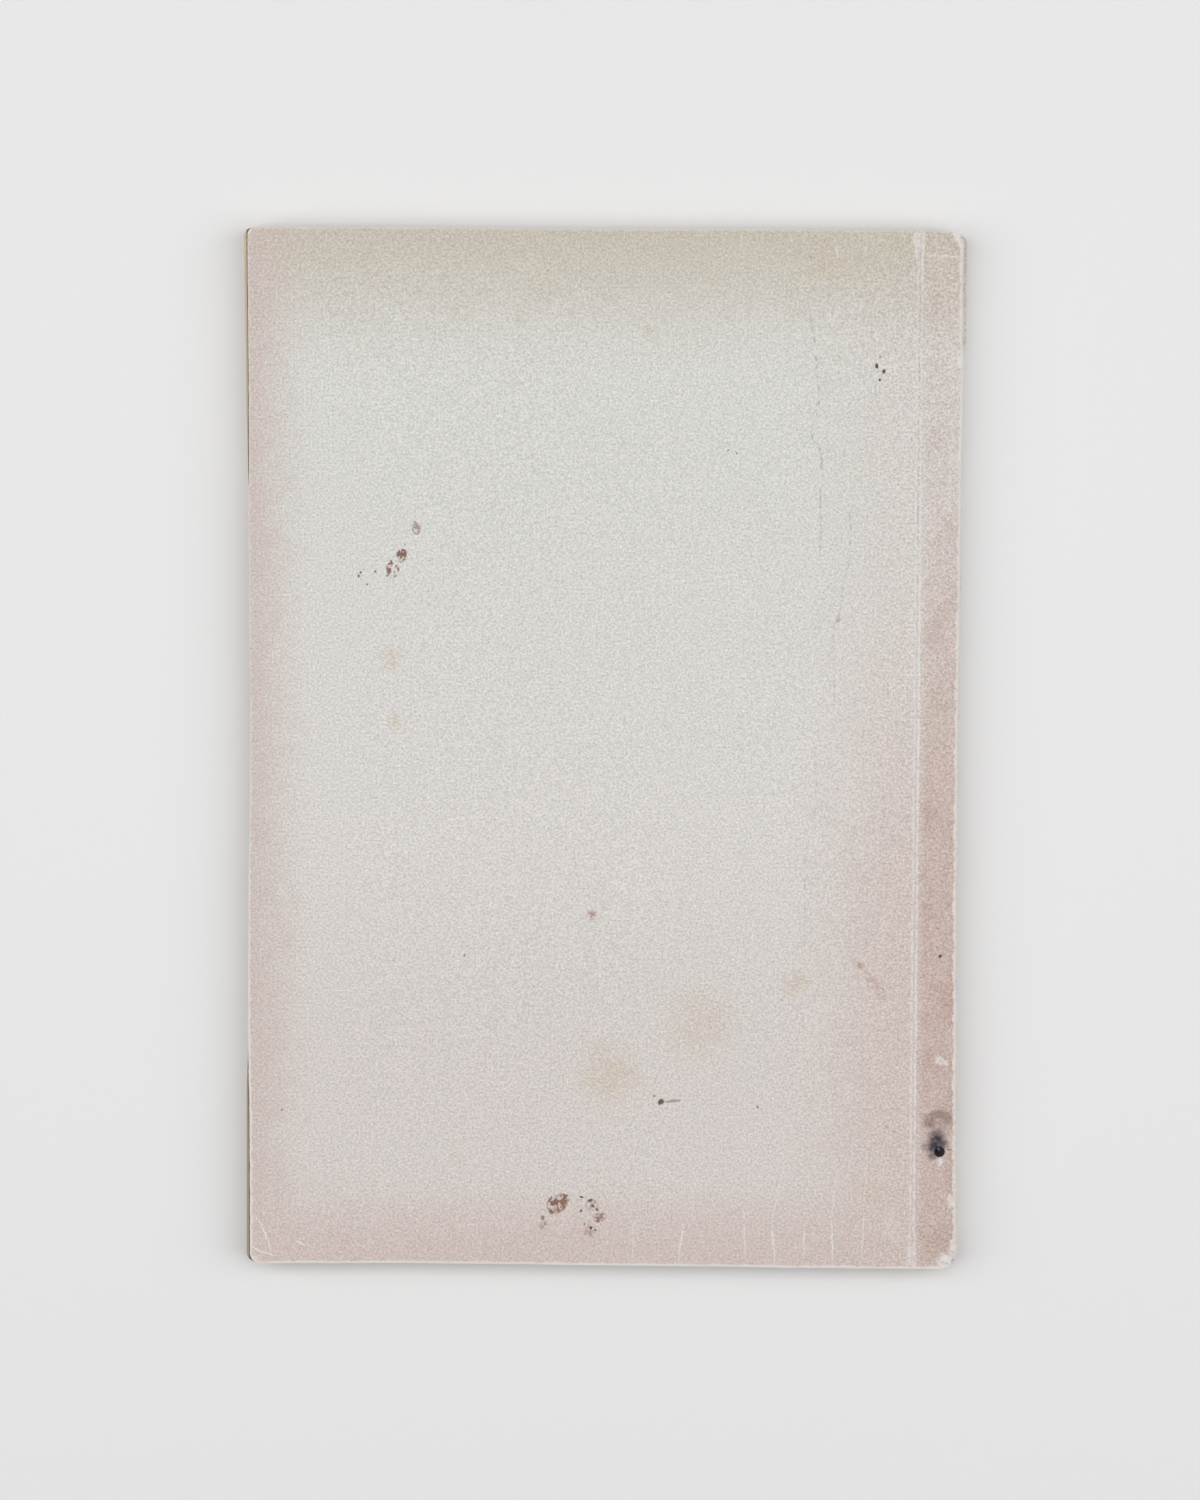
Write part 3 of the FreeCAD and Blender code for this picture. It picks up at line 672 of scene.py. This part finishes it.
RUBBED = (
    (67.4, -100.2, 2.6, 2.6, 0, 1.0), (68.9, -98.0, 1.0, 2.4, 0, 0.8), (68.4, 99.6, 1.0, 2.2, 35, 0.9),
    (66.0, -60.4, 1.3, 1.3, 0, 0.9), (67.2, -60.8, 0.9, 0.9, 0, 0.8), (68.7, 76.0, 0.7, 1.3, 10, 0.9),
    (66.2, -80.3, 0.5, 1.1, -10, 0.9), (-68.4, -100.2, 1.4, 1.4, 0, 0.8), (-69.0, 100.8, 0.9, 0.9, 0, 0.7),
    (-69.0, 95.3, 0.6, 0.6, 0, 1.0), (60.9, -99.6, 1.2, 2.6, 0, 0.6), (60.6, 99.6, 1.4, 2.8, 0, 0.5),
    (57.0, -93.0, 2.5, 3.5, 0, 0.2),
    (68.4, -88.0, 0.8, 1.6, 0, 0.7), (64.0, -94.0, 1.2, 1.2, 0, 0.3),
)
STEP_SHADOW = ((69.25, 89.5, 0.22, 10.0, 0, 1.0), (69.5, 79.2, 0.3, 0.9, 20, 1.0))
CREASES = (
    (6.1, -96.4, 0.23, 3.97, 0, 0.55), (15.5, -96.5, 0.26, 4.21, -8, 0.75),
    (28.0, -94.8, 0.26, 5.47, 3, 0.75), (34.3, -87.8, 0.22, 5.15, -11, 0.65),
    (33.7, -96.9, 0.29, 3.98, 5, 0.93), (39.7, -96.7, 0.24, 3.18, 0, 0.84),
    (45.6, -86.4, 0.22, 5.1, -7, 0.65), (45.2, -96.2, 0.26, 4.77, 3, 0.84),
    (51.7, -83.9, 0.2, 5.95, -3, 0.46), (51.2, -95.2, 0.24, 5.36, -2, 0.75),
    (39.2, -97.3, 0.23, 2.2, 89, 0.45), (-47.1, -97.4, 0.23, 2.29, 59, 0.6),
    (26.1, 98.8, 0.24, 1.82, 0, 0.49), (30.2, 99.5, 0.24, 1.34, 0, 0.42), (35.9, 99.7, 0.22, 1.16, 5, 0.42),
    (38.3, 99.9, 0.22, 1.15, 0, 0.42), (44.7, 97.8, 0.24, 2.05, 11, 0.49), (50.4, 98.5, 0.24, 2.21, -2, 0.35),
    (65.7, 96.3, 0.29, 3.58, 89, 0.7), (-62.8, -23.5, 0.16, 4.6, -60, 0.35), (67.5, 4.6, 0.16, 5.86, 1, 0.3),
    (59.9, 98.1, 0.29, 2.89, 4, 0.9), (61.5, 98.1, 0.29, 2.89, -3, 0.9), (60.3, -96.9, 0.27, 4.07, 1, 0.81),
    (61.4, -96.9, 0.27, 4.07, -1, 0.81), (-67.3, -92.6, 0.23, 1.46, 28, 1.0),
    (-66.1, -95.1, 0.29, 1.29, 22, 1.0), (-65.2, -97.8, 0.29, 1.63, 14, 1.0),
    (-67.8, -98.2, 0.28, 1.06, 68, 1.0), (-65.4, -99.0, 0.23, 1.43, 74, 0.9),
    (-58.9, -97.0, 0.25, 1.5, 62, 0.9), (-47.1, -97.4, 0.23, 2.29, 59, 0.52),
)
# Long cracks in the back cover: ((y, x) points, half width, strength)
CRACKS = (
    (((91.7, 38.2), (84.4, 39.8), (80.7, 40.4), (74.4, 41.0), (69.0, 41.4), (65.3, 41.1), (62.6, 40.1),
      (59.9, 41.3), (55.0, 42.1), (49.2, 41.8), (43.4, 42.0), (36.6, 41.1)), 0.3, 0.7),
    (((49.3, 46.4), (43.4, 47.8), (32.8, 46.3), (27.9, 45.8), (20.1, 44.5), (12.3, 44.9),
      (7.5, 44.4)), 0.28, 0.45),
    (((22.0, 36.1), (14.3, 35.4), (8.4, 33.3), (2.5, 32.4)), 0.28, 0.35),
    (((2.6, 40.5), (-7.2, 41.4), (-15.0, 40.7), (-22.9, 39.4), (-34.6, 39.4), (-40.5, 39.9)), 0.28, 0.4),
    (((93.6, 27.3), (80.1, 28.0)), 0.24, 0.22),
)


def grained_card(finish, place):
    """The card's mottled grain, and the broad clouds that its tones follow."""
    fine = finish.cloud(place, 0.42, 3.0, 0.62)
    broad = finish.cloud(place, 9.0, 3.0, 0.55)
    return fine, broad


def grain_over(finish, colour, fine, depth):
    """Lays the grain over a colour, light and dark by depth, with a little colour of its own."""
    uneven = finish.sum("SUBTRACT", fine.outputs["Fac"], 0.5)
    mottle = finish.sum("MULTIPLY_ADD", uneven, depth, 1.0)
    grey = finish.add("ShaderNodeCombineColor", mottle, mottle, mottle).outputs[0]
    colour = finish.tint(colour, grey, 1.0, "MULTIPLY")
    return finish.tint(colour, fine.outputs["Color"], 0.1, "SOFT_LIGHT")


def toned_card_with_painted_light(finish, x, y, broad, patchy):
    """Old card's colour before marks: lightest in the middle, where painted light brightens it, browner to its
    edges and hinge.
    """
    drift = finish.sum("MULTIPLY_ADD", broad.outputs["Fac"], 14.0, -7.0)
    uneven = finish.sum("MULTIPLY_ADD", patchy, 12.0, -6.0)
    near = finish.sum("MULTIPLY_ADD", drift, 0.35, uneven)
    down = finish.sum("ADD", y, drift)
    right = finish.sum("ADD", finish.sum("ADD", x, drift), uneven)
    colour = finish.tint(paint(213, 212, 207), paint(212, 205, 201), finish.ramp(down, 50, -70))
    # Painted light: a lighter band across the middle of the cover, where the light falls most.
    middle = finish.ramp(finish.sum("ABSOLUTE", down), 60, 5, 0, 0.6)
    colour = finish.tint(colour, paint(217, 213, 210), middle)
    toned = finish.sum("MULTIPLY", finish.ramp(right, 34, 60), finish.ramp(down, 45, -45, 0.3, 1.0))
    colour = finish.tint(colour, paint(207, 193, 187), toned)
    colour = finish.tint(colour, paint(197, 189, 176), finish.ramp(finish.sum("ADD", y, near), 72, 104))
    by_fore = finish.ramp(finish.sum("ADD", x, near), -56, -71, 0, 0.9)
    colour = finish.tint(colour, paint(202, 187, 181), by_fore)
    by_tail = finish.ramp(finish.sum("ADD", y, near), -82, -99, 0, 0.95)
    colour = finish.tint(colour, paint(206, 190, 184), by_tail)
    strip = finish.ramp(finish.sum("MULTIPLY_ADD", patchy, 1.6, finish.sum("SUBTRACT", x, 0.8)), 61.2, 63.0)
    low = finish.sum("MULTIPLY", finish.ramp(down, 80, -45), finish.ramp(y, -100, -60, 0.75, 1.0))
    amount = finish.sum("MULTIPLY", strip, finish.sum("MULTIPLY_ADD", low, 0.75, 0.2))
    colour = finish.tint(colour, paint(198, 178, 170), amount)
    blotch = finish.sum("MULTIPLY", amount, finish.ramp(broad.outputs["Fac"], 0.47, 0.62, 0, 0.6))
    return finish.tint(colour, paint(184, 160, 150), blotch)


def specks(finish, place, size, reach, rare=0.55):
    """Tiny dark fibres scattered through the card."""
    cells = finish.add("ShaderNodeTexVoronoi")
    finish.feed(cells.inputs["Vector"], place)
    cells.inputs["Scale"].default_value = 1.0 / size
    spot = finish.ramp(cells.outputs["Distance"], reach, reach * 0.3)
    chance = finish.add("ShaderNodeSeparateColor", cells.outputs["Color"]).outputs[0]
    return finish.sum("MULTIPLY", spot, finish.ramp(chance, rare, 1.0, kind="LINEAR"))


def pale_lines(finish, x, y, breaks):
    """The two rubbed lines along the pressed score, faint at the middle of the book."""
    lines = None
    for line, strength in ((60.5, 0.85), (61.25, 1.0)):
        away = finish.sum("ABSOLUTE", finish.sum("SUBTRACT", x, line))
        ridge = finish.ramp(away, 0.4, 0.1, 0.0, strength)
        lines = ridge if lines is None else finish.sum("MAXIMUM", lines, ridge)
    worn = finish.sum("MAXIMUM", finish.ramp(y, 62, 20, 0.3, 0.85), finish.ramp(y, 80, 98, 0.0, 0.9))
    return finish.sum("MULTIPLY", finish.sum("MULTIPLY", lines, worn), breaks)


def on_side(marks, side):
    """The marks that reach one side of the back fold: -1 the back cover, 1 its strip and the spine."""
    return [mark for mark in marks if (mark[0] - FOLD) * side > -2.0]


def foxed_grain(finish, colour, side, place, x, fine, patchy, upper):
    """Old card's brown spots, its grain and its dark fibres."""
    hazy = finish.shifted(place, finish.cloud(place, 4.0, 3.0), 5.0)
    foxing = finish.sum("MULTIPLY", finish.marks(hazy, on_side(FOXING, side), 0.1), upper)
    foxing = finish.sum("MULTIPLY", foxing, finish.ramp(patchy, 0.3, 0.6, 0.35, 0.85))
    colour = finish.tint(colour, paint(200, 184, 160), foxing)
    colour = grain_over(finish, colour, fine, finish.ramp(x, 44, 66, 1.15, 1.5))
    fibres = finish.sum("MULTIPLY", specks(finish, place, 3.2, 0.07), 0.5)
    colour = finish.tint(colour, paint(*SPECK_TONE), fibres)
    thick_of_specks = finish.ramp(x, 40, 66, 0.2, 0.55)
    small = finish.sum("MULTIPLY", specks(finish, place, 1.15, 0.17, 0.4), thick_of_specks)
    colour = finish.tint(colour, paint(140, 116, 106), small)
    return colour


def wire_stains_and_rim_shade(finish, colour, side, place, wandering, flaking, upper):
    """The dark stain and its brown halo round the small hole, and a near-black ring of painted shade at the
    hole's rim.
    """
    halo = finish.sum("MULTIPLY", finish.marks(wandering, on_side(WIRE_HALO, side), 0.15), upper)
    halo = finish.sum("MULTIPLY", halo, finish.ramp(flaking, 0.3, 0.6, 0.5, 1.0))
    colour = finish.tint(colour, paint(128, 108, 101), halo)
    stain = finish.sum("MULTIPLY", finish.marks(wandering, on_side(WIRE_STAIN, side), 0.2), upper)
    stain = finish.sum("MULTIPLY", stain, finish.ramp(flaking, 0.3, 0.6, 0.75, 1.0))
    colour = finish.tint(colour, paint(58, 50, 62), stain)
    # Painted shade: a near-black ring on the upper face at the hole's rim.
    hole_rim_shade = finish.sum("MULTIPLY", finish.ramp(finish.away(place, *HOLE), 1.2, 0.95), upper)
    colour = finish.tint(colour, paint(30, 29, 34), hole_rim_shade)
    return colour


def soiled(finish, colour, side, place, wandering, thin, rough_line, upper):
    """Crumbly rust-brown spots, dried smears and dark grime."""
    crumbs = finish.ramp(finish.cloud(place, 1.0, 3.0, 0.75).outputs["Fac"], 0.42, 0.52, 0.04, 1.0)
    rust = finish.sum("MULTIPLY", finish.marks(wandering, on_side(RUST, side), 0.2), upper)
    colour = finish.tint(colour, paint(158, 112, 88), finish.sum("MULTIPLY", rust, crumbs))
    smears = finish.marks(wandering, on_side(SMEARS, side), 0.45)
    if smears:
        smears = finish.sum("MULTIPLY", smears, finish.sum("MULTIPLY", crumbs, upper))
        dirt = finish.tint(paint(106, 86, 80), paint(160, 118, 92), rough_line)
        colour = finish.tint(colour, dirt, smears)
    grime = finish.sum("MULTIPLY", finish.marks(thin, on_side(GRIME, side), 0.45), upper)
    colour = finish.tint(colour, paint(96, 74, 66), grime)
    return colour


def cracks_and_score_shade(finish, colour, side, y, tx, ty, flaking, upper):
    """The long grey cracks, and a broken line of painted shade along the groove of the pressed score."""
    cracks = 0.0
    for points, half_width, strength in CRACKS if side < 0 else ():
        cracks = finish.sum("MAXIMUM", finish.lane(tx, ty, points, half_width, strength), cracks)
    cracks = finish.sum("MULTIPLY", finish.sum("MULTIPLY", cracks, finish.ramp(flaking, 0.4, 0.66)), upper)
    # Painted shade: a broken grey line in the pressed score's groove, stronger towards the head.
    score_groove_shade = finish.sum("ABSOLUTE", finish.sum("SUBTRACT", tx, 60.9))
    score_groove_shade = finish.sum("MULTIPLY", finish.ramp(score_groove_shade, 0.3, 0.05, 0, 0.55), finish.ramp(flaking, 0.5, 0.62))
    towards_head = finish.ramp(y, -60, 40, 0.35, 1.0)
    score_groove_shade = finish.sum("MULTIPLY", score_groove_shade, finish.sum("MULTIPLY", upper, towards_head))
    colour = finish.tint(colour, paint(150, 147, 158), finish.sum("MAXIMUM", cracks, score_groove_shade))
    return colour


def creased(finish, colour, side, y, tx, thin, wandering, flaking, upper):
    """Pale creases, rubbed places and the two pale lines along the score."""
    breaks = finish.ramp(flaking, 0.38, 0.58, 0.12, 1.0)
    creases = finish.marks(thin, on_side(CREASES, side), 0.1)
    creases = finish.sum("MULTIPLY", creases, finish.ramp(flaking, 0.36, 0.54, 0.4, 1.0))
    creases = finish.sum("MAXIMUM", creases, pale_lines(finish, tx, y, breaks))
    rubbed = finish.marks(wandering, on_side(RUBBED, side), 0.3)
    rubbed = finish.sum("MULTIPLY", rubbed, finish.ramp(flaking, 0.36, 0.56, 0.3, 1.0))
    creases = finish.sum("MULTIPLY", finish.sum("MAXIMUM", creases, rubbed), upper)
    colour = finish.tint(colour, paint(225, 221, 219), creases)
    return colour


def worn_edges_and_step_shadow(finish, colour, side, y, thin, rough_line, flaking):
    """Card rubbed pale at its trimmed edges and round the spine's folds, with a line of painted shadow along
    the step below the upper fold near the head.
    """
    reach = finish.sum("MULTIPLY_ADD", rough_line, -1.1, finish.ramp(y, 20, -70, 0.45, 0.32))
    rim = finish.ramp(finish.sum("ADD", finish.kept("rim"), reach), 0.36, 0.08)
    rim = finish.sum("MULTIPLY", rim, finish.ramp(y, 30, -70, 0.4, 0.95))
    colour = finish.tint(colour, paint(223, 217, 210), rim)
    if side > 0:
        ragged = finish.sum("MULTIPLY_ADD", rough_line, -1.5, 0.75)
        fold = finish.ramp(finish.sum("ADD", finish.kept("fold"), ragged), 0.84, 0.6)
        fold = finish.sum("MULTIPLY", fold, finish.ramp(flaking, 0.3, 0.6, 0.6, 1.0))
        colour = finish.tint(colour, paint(222, 217, 211), fold)
        # Painted shadow: a dark line along the step where the upper fold overhangs the lower spine near the
        # head.
        painted_step_shadow = finish.marks(thin, STEP_SHADOW, 0.2)
        colour = finish.tint(colour, paint(96, 86, 78), finish.sum("MULTIPLY", painted_step_shadow, 0.8))
    return colour


def back_card(name, side):
    """The toned card with its stains and creases, and some painted light and shade: side -1 is the back cover,
    side 1 its strip and the spine.
    """
    finish = Finish(name, 0.72)
    place = finish.place()
    x, y, z = finish.add("ShaderNodeSeparateXYZ", place).outputs
    upper = finish.ramp(z, 5.72, 5.8)
    fine, broad = grained_card(finish, place)
    patchy = finish.cloud(place, 2.4, 3.0, 0.6).outputs["Fac"]
    rough_line = finish.cloud(place, 1.6, 3.0, 0.65).outputs["Fac"]
    flaking = finish.cloud(place, 0.8, 3.0, 0.65).outputs["Fac"]
    wandering = finish.shifted(place, finish.cloud(place, 1.1, 3.0, 0.65), 1.1)
    thin = finish.shifted(place, finish.cloud(place, 1.6, 3.0, 0.6), 0.9)
    tx, ty = finish.add("ShaderNodeSeparateXYZ", thin).outputs[:2]

    colour = toned_card_with_painted_light(finish, x, y, broad, patchy)
    colour = foxed_grain(finish, colour, side, place, x, fine, patchy, upper)
    colour = wire_stains_and_rim_shade(finish, colour, side, place, wandering, flaking, upper)
    colour = soiled(finish, colour, side, place, wandering, thin, rough_line, upper)
    colour = cracks_and_score_shade(finish, colour, side, y, tx, ty, flaking, upper)
    colour = creased(finish, colour, side, y, tx, thin, wandering, flaking, upper)
    colour = worn_edges_and_step_shadow(finish, colour, side, y, thin, rough_line, flaking)

    finish.feed(finish.shader.inputs["Base Color"], colour)
    finish.raise_by(fine.outputs["Fac"], 0.05)
    finish.feed(finish.shader.inputs["Roughness"], finish.ramp(fine.outputs["Fac"], 0.3, 0.7, 0.66, 0.82))
    finish.shader.inputs["Specular IOR Level"].default_value = 0.25
    return finish.material


def edge_distance(finish, x, y):
    """How far a place is in from the nearest side of the book, in mm."""
    across = finish.sum("SUBTRACT", SPINE, finish.sum("ABSOLUTE", x))
    along = finish.sum("SUBTRACT", HEAD, finish.sum("ABSOLUTE", y))
    return finish.sum("MINIMUM", across, along)


def front_card():
    """The same card on the hidden front cover: toned at its edges and otherwise plain."""
    finish = Finish("worn_front_card", 0.75)
    place = finish.place()
    x, y = finish.add("ShaderNodeSeparateXYZ", place).outputs[:2]
    fine, broad = grained_card(finish, place)
    drift = finish.sum("MULTIPLY_ADD", broad.outputs["Fac"], 8.0, -4.0)
    edge = edge_distance(finish, x, y)
    toned = finish.ramp(finish.sum("ADD", edge, drift), 13, 0)
    colour = finish.tint(paint(212, 207, 202), paint(201, 188, 180), toned)
    colour = grain_over(finish, colour, fine, 1.1)
    fibres = finish.sum("MULTIPLY", specks(finish, place, 3.2, 0.07), 0.4)
    colour = finish.tint(colour, paint(*SPECK_TONE), fibres)
    rough_line = finish.cloud(place, 1.8, 3.0, 0.65).outputs["Fac"]
    reach = finish.sum("MULTIPLY_ADD", rough_line, -0.9, 0.35)
    rim = finish.ramp(finish.sum("ADD", finish.kept("rim"), reach), 0.32, 0.06)
    colour = finish.tint(colour, paint(226, 221, 211), finish.sum("MULTIPLY", rim, 0.8))
    finish.feed(finish.shader.inputs["Base Color"], colour)
    finish.raise_by(fine.outputs["Fac"], 0.03)
    finish.feed(finish.shader.inputs["Roughness"], finish.ramp(fine.outputs["Fac"], 0.3, 0.7, 0.66, 0.84))
    finish.shader.inputs["Specular IOR Level"].default_value = 0.25
    return finish.material


def leaf_paper():
    """Toned wood-pulp paper, each leaf a little different and browner at its trimmed edges. Its rim is darker
    from the middle to the tail, partly toning and partly painted shade; a line of painted shadow runs under
    the back cover's fore edge, and the paper round the hole is darkened by stain and painted shade.
    """
    finish = Finish("leaf_paper", 0.85)
    place = finish.place()
    x, y, z = finish.add("ShaderNodeSeparateXYZ", place).outputs
    per_mm = LEAF_COUNT / (LEAVES_HIGH - LEAVES_LOW)
    leaf = finish.sum("FLOOR", finish.sum("MULTIPLY", finish.sum("SUBTRACT", z, LEAVES_LOW), per_mm))
    own = finish.add("ShaderNodeTexWhiteNoise", noise_dimensions="1D")
    finish.feed(own.inputs["W"], leaf)
    fine = finish.cloud(place, 0.35, 3.0, 0.6)
    broad = finish.cloud(place, 12.0, 3.0, 0.6)
    edge = edge_distance(finish, x, y)
    drift = finish.sum("MULTIPLY_ADD", broad.outputs["Fac"], 10.0, -5.0)
    toned = finish.ramp(finish.sum("ADD", edge, drift), 18, 1)
    colour = finish.tint(paint(220, 210, 190), paint(202, 186, 160), toned)
    # Partly toning and partly painted shade: the leaves' trimmed rim darkened, strongly from the middle to the
    # tail and faintly near the head.
    ragged = finish.sum("MULTIPLY_ADD", fine.outputs["Fac"], -0.8, finish.sum("ADD", edge, 0.4))
    rim = finish.sum("MULTIPLY", finish.ramp(ragged, 2.2, 0.4), finish.ramp(y, 70, 10, 0.1, 0.8))
    colour = finish.tint(colour, paint(160, 140, 124), rim)
    browner = finish.ramp(own.outputs["Value"], 0.35, 1.0, 0.0, 0.4)
    colour = finish.tint(colour, paint(146, 124, 102), browner)
    mottle = finish.ramp(fine.outputs["Fac"], 0.3, 0.7, 0.93, 1.05, "LINEAR")
    grey = finish.add("ShaderNodeCombineColor", mottle, mottle, mottle).outputs[0]
    colour = finish.tint(colour, grey, 1.0, "MULTIPLY")
    fibres = finish.sum("MULTIPLY", specks(finish, place, 2.4, 0.08), 0.5)
    colour = finish.tint(colour, paint(120, 96, 70), fibres)
    # Painted shadow: a dark line on the top leaf just under the back cover's fore edge, where that edge shades
    # it.
    top_leaf = finish.ramp(z, 5.35, 5.5)
    under = finish.sum("MULTIPLY", finish.ramp(finish.kept("under"), -0.32, -0.08), top_leaf)
    under = finish.sum("MULTIPLY", under, finish.ramp(finish.kept("under"), 0.7, 0.1, 0, 0.8))
    colour = finish.tint(colour, paint(88, 78, 74), under)
    # Partly stain and partly painted shade: the paper round the hole darkened almost black, down in the hole's
    # recess.
    hole_stain_and_shade = finish.ramp(finish.away(place, *HOLE), 3.0, 1.1, 0, 0.97)
    colour = finish.tint(colour, paint(*HOLE_TONE), hole_stain_and_shade)
    finish.feed(finish.shader.inputs["Base Color"], colour)
    finish.raise_by(fine.outputs["Fac"], 0.03)
    finish.feed(finish.shader.inputs["Roughness"], finish.ramp(fine.outputs["Fac"], 0.3, 0.7, 0.78, 0.92))
    finish.shader.inputs["Specular IOR Level"].default_value = 0.2
    return finish.material


def dried_glue():
    """Brittle amber glue, crazed and dusty, darkened round the hole by stain and painted shade."""
    finish = Finish("dried_glue", 0.45)
    place = finish.place()
    cloud = finish.cloud(place, 1.4, 4.0, 0.6)
    cells = finish.add("ShaderNodeTexVoronoi", feature="DISTANCE_TO_EDGE")
    finish.feed(cells.inputs["Vector"], place)
    cells.inputs["Scale"].default_value = 0.8
    depth = finish.ramp(cloud.outputs["Fac"], 0.35, 0.65)
    colour = finish.tint(paint(168, 124, 74), paint(122, 84, 46), depth)
    crazed = finish.ramp(cells.outputs["Distance"], 0.06, 0.0)
    colour = finish.tint(colour, paint(206, 184, 150), finish.sum("MULTIPLY", crazed, 0.7))
    # Partly stain and partly painted shade: the glue round the hole darkened almost black.
    hole_stain_and_shade = finish.ramp(finish.away(place, *HOLE), 3.0, 1.1, 0, 0.97)
    colour = finish.tint(colour, paint(*HOLE_TONE), hole_stain_and_shade)
    finish.feed(finish.shader.inputs["Base Color"], colour)
    finish.feed(finish.shader.inputs["Roughness"], finish.ramp(cloud.outputs["Fac"], 0.3, 0.7, 0.35, 0.65))
    finish.raise_by(finish.sum("SUBTRACT", cloud.outputs["Fac"], crazed), 0.06)
    return finish.material


def stitching_wire():
    """Dull blue-grey wire with dark tarnish and a little rust."""
    finish = Finish("stitching_wire", 0.4)
    at = finish.add("ShaderNodeTexCoord").outputs["Object"]
    scaled = finish.add("ShaderNodeVectorMath", at, operation="SCALE")
    scaled.inputs["Scale"].default_value = 1 / MM
    place = scaled.outputs[0]
    tarnish = finish.cloud(place, 0.4, 4.0, 0.65)
    pits = finish.cloud(place, 0.15, 3.0, 0.6)
    dulled = finish.ramp(tarnish.outputs["Fac"], 0.4, 0.62)
    colour = finish.tint(paint(148, 156, 172), paint(74, 78, 88), dulled)
    rusted = finish.ramp(finish.cloud(place, 0.8, 3.0).outputs["Fac"], 0.58, 0.7, 0, 0.7)
    colour = finish.tint(colour, paint(116, 70, 46), rusted)
    finish.feed(finish.shader.inputs["Base Color"], colour)
    finish.shader.inputs["Metallic"].default_value = 0.85
    finish.feed(finish.shader.inputs["Roughness"], finish.ramp(tarnish.outputs["Fac"], 0.3, 0.7, 0.34, 0.6))
    finish.raise_by(pits.outputs["Fac"], 0.02)
    return finish.material


# Setting


def make_setting():
    """A plain pale floor, soft light from both sides and above, and the camera above the book."""
    deselect()
    bpy.ops.mesh.primitive_plane_add(size=6, location=(0, 0, -FLOOR_GAP * MM))
    floor = bpy.context.object
    floor.name = "floor"
    surface = Finish("pale_floor", 0.9)
    surface.shader.inputs["Base Color"].default_value = paint(232, 232, 232)
    surface.shader.inputs["Specular IOR Level"].default_value = 0.1
    floor.data.materials.append(surface.material)

    for name, place, width, height, power in (
        ("left_softbox", (-0.75, 0.05, 0.75), 0.9, 1.1, 5.8),
        ("right_softbox", (0.75, 0.05, 0.75), 0.9, 1.1, 5.8),
        ("top_softbox", (0.0, 0.25, 1.3), 0.9, 0.9, 5.3),
    ):
        bpy.ops.object.light_add(type="AREA", location=place)
        lamp = bpy.context.object
        lamp.name = name
        lamp.data.shape = "RECTANGLE"
        lamp.data.size, lamp.data.size_y = width, height
        lamp.data.energy = power
        lamp.rotation_euler = (Vector((0, 0, 0)) - Vector(place)).to_track_quat("-Z", "Y").to_euler()

    world = bpy.data.worlds.new("studio")
    world.use_nodes = True
    world.node_tree.nodes["Background"].inputs["Color"].default_value = (1, 1, 1, 1)
    world.node_tree.nodes["Background"].inputs["Strength"].default_value = 0.16
    bpy.context.scene.world = world
    bpy.context.scene.view_settings.view_transform = "Standard"

    deselect()
    bpy.ops.object.camera_add(location=CAMERA_PLACE)
    camera = bpy.context.object
    camera.name = "camera"
    camera.rotation_euler = (math.radians(CAMERA_TILT), 0, math.radians(CAMERA_TURN))
    camera.data.lens = 100
    camera.data.sensor_width = 36
    camera.data.clip_start = 0.01
    bpy.context.scene.camera = camera


def make_covers(back, spine, front):
    """The back panel, the wrap with its hole, and the front panel."""

    panel = pressed_sheet("back_panel", PANEL_ACROSS, ALONG, back_panel_place, panel_rim)
    keep_value(panel, "fold", lambda place: 9.0)
    thicken(panel, CARD)
    finish_piece(panel, back, "back_cover")
    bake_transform(panel)

    wrap = pressed_sheet("spine_wrap_card", range(len(WRAP_LINE)), ALONG, wrap_place, wrap_rim)
    keep_value(wrap, "fold", fold_distance)
    cut_away(wrap, in_hole)
    thicken(wrap, CARD)
    finish_piece(wrap, spine, "spine_wrap")
    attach(wrap, "book_block")

    under = pressed_sheet("front_panel", PANEL_ACROSS[::-1], ALONG, front_panel_place, panel_rim)
    thicken(under, CARD)
    finish_piece(under, front, "front_cover")
    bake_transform(under)


def fold_distance(place):
    """How far a place on the wrap is from the worn middle of its nearer fold, round the fold."""
    worn = along_edge(SPINE_WEAR, place.y)
    strength = 0.15 * eased(place.y, -60, 60)
    upper = math.hypot(SPINE - worn - 0.25 - place.x, TOP - 0.3 - place.z)
    lower = math.hypot(SPINE - worn - 0.3 - place.x, 0.25 - place.z)
    return min(upper, lower + 0.15) + strength


def keep_value(piece, name, measure):
    """Keeps a number on each point for the material."""
    kept = piece.data.attributes.new(name, "FLOAT", "POINT")
    for point in piece.data.vertices:
        kept.data[point.index].value = measure(point.co / MM)


make_setting()
make_covers(back_card("worn_back_card", -1), back_card("worn_spine_card", 1), front_card())
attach(make_glue(dried_glue()), "book_block")
leaves = make_leaves(leaf_paper())
# Kept for the leaves' painted shadow: how far each point lies past the back cover's fore edge.
keep_value(leaves, "under", lambda place: place.x - FORE - along_edge(BACK_FORE, place.y))
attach(leaves, "book_block")
for staple in ("head_staple", "tail_staple"):
    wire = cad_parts[staple]
    wire.data.materials.clear()
    wire.data.materials.append(stitching_wire())
deselect()
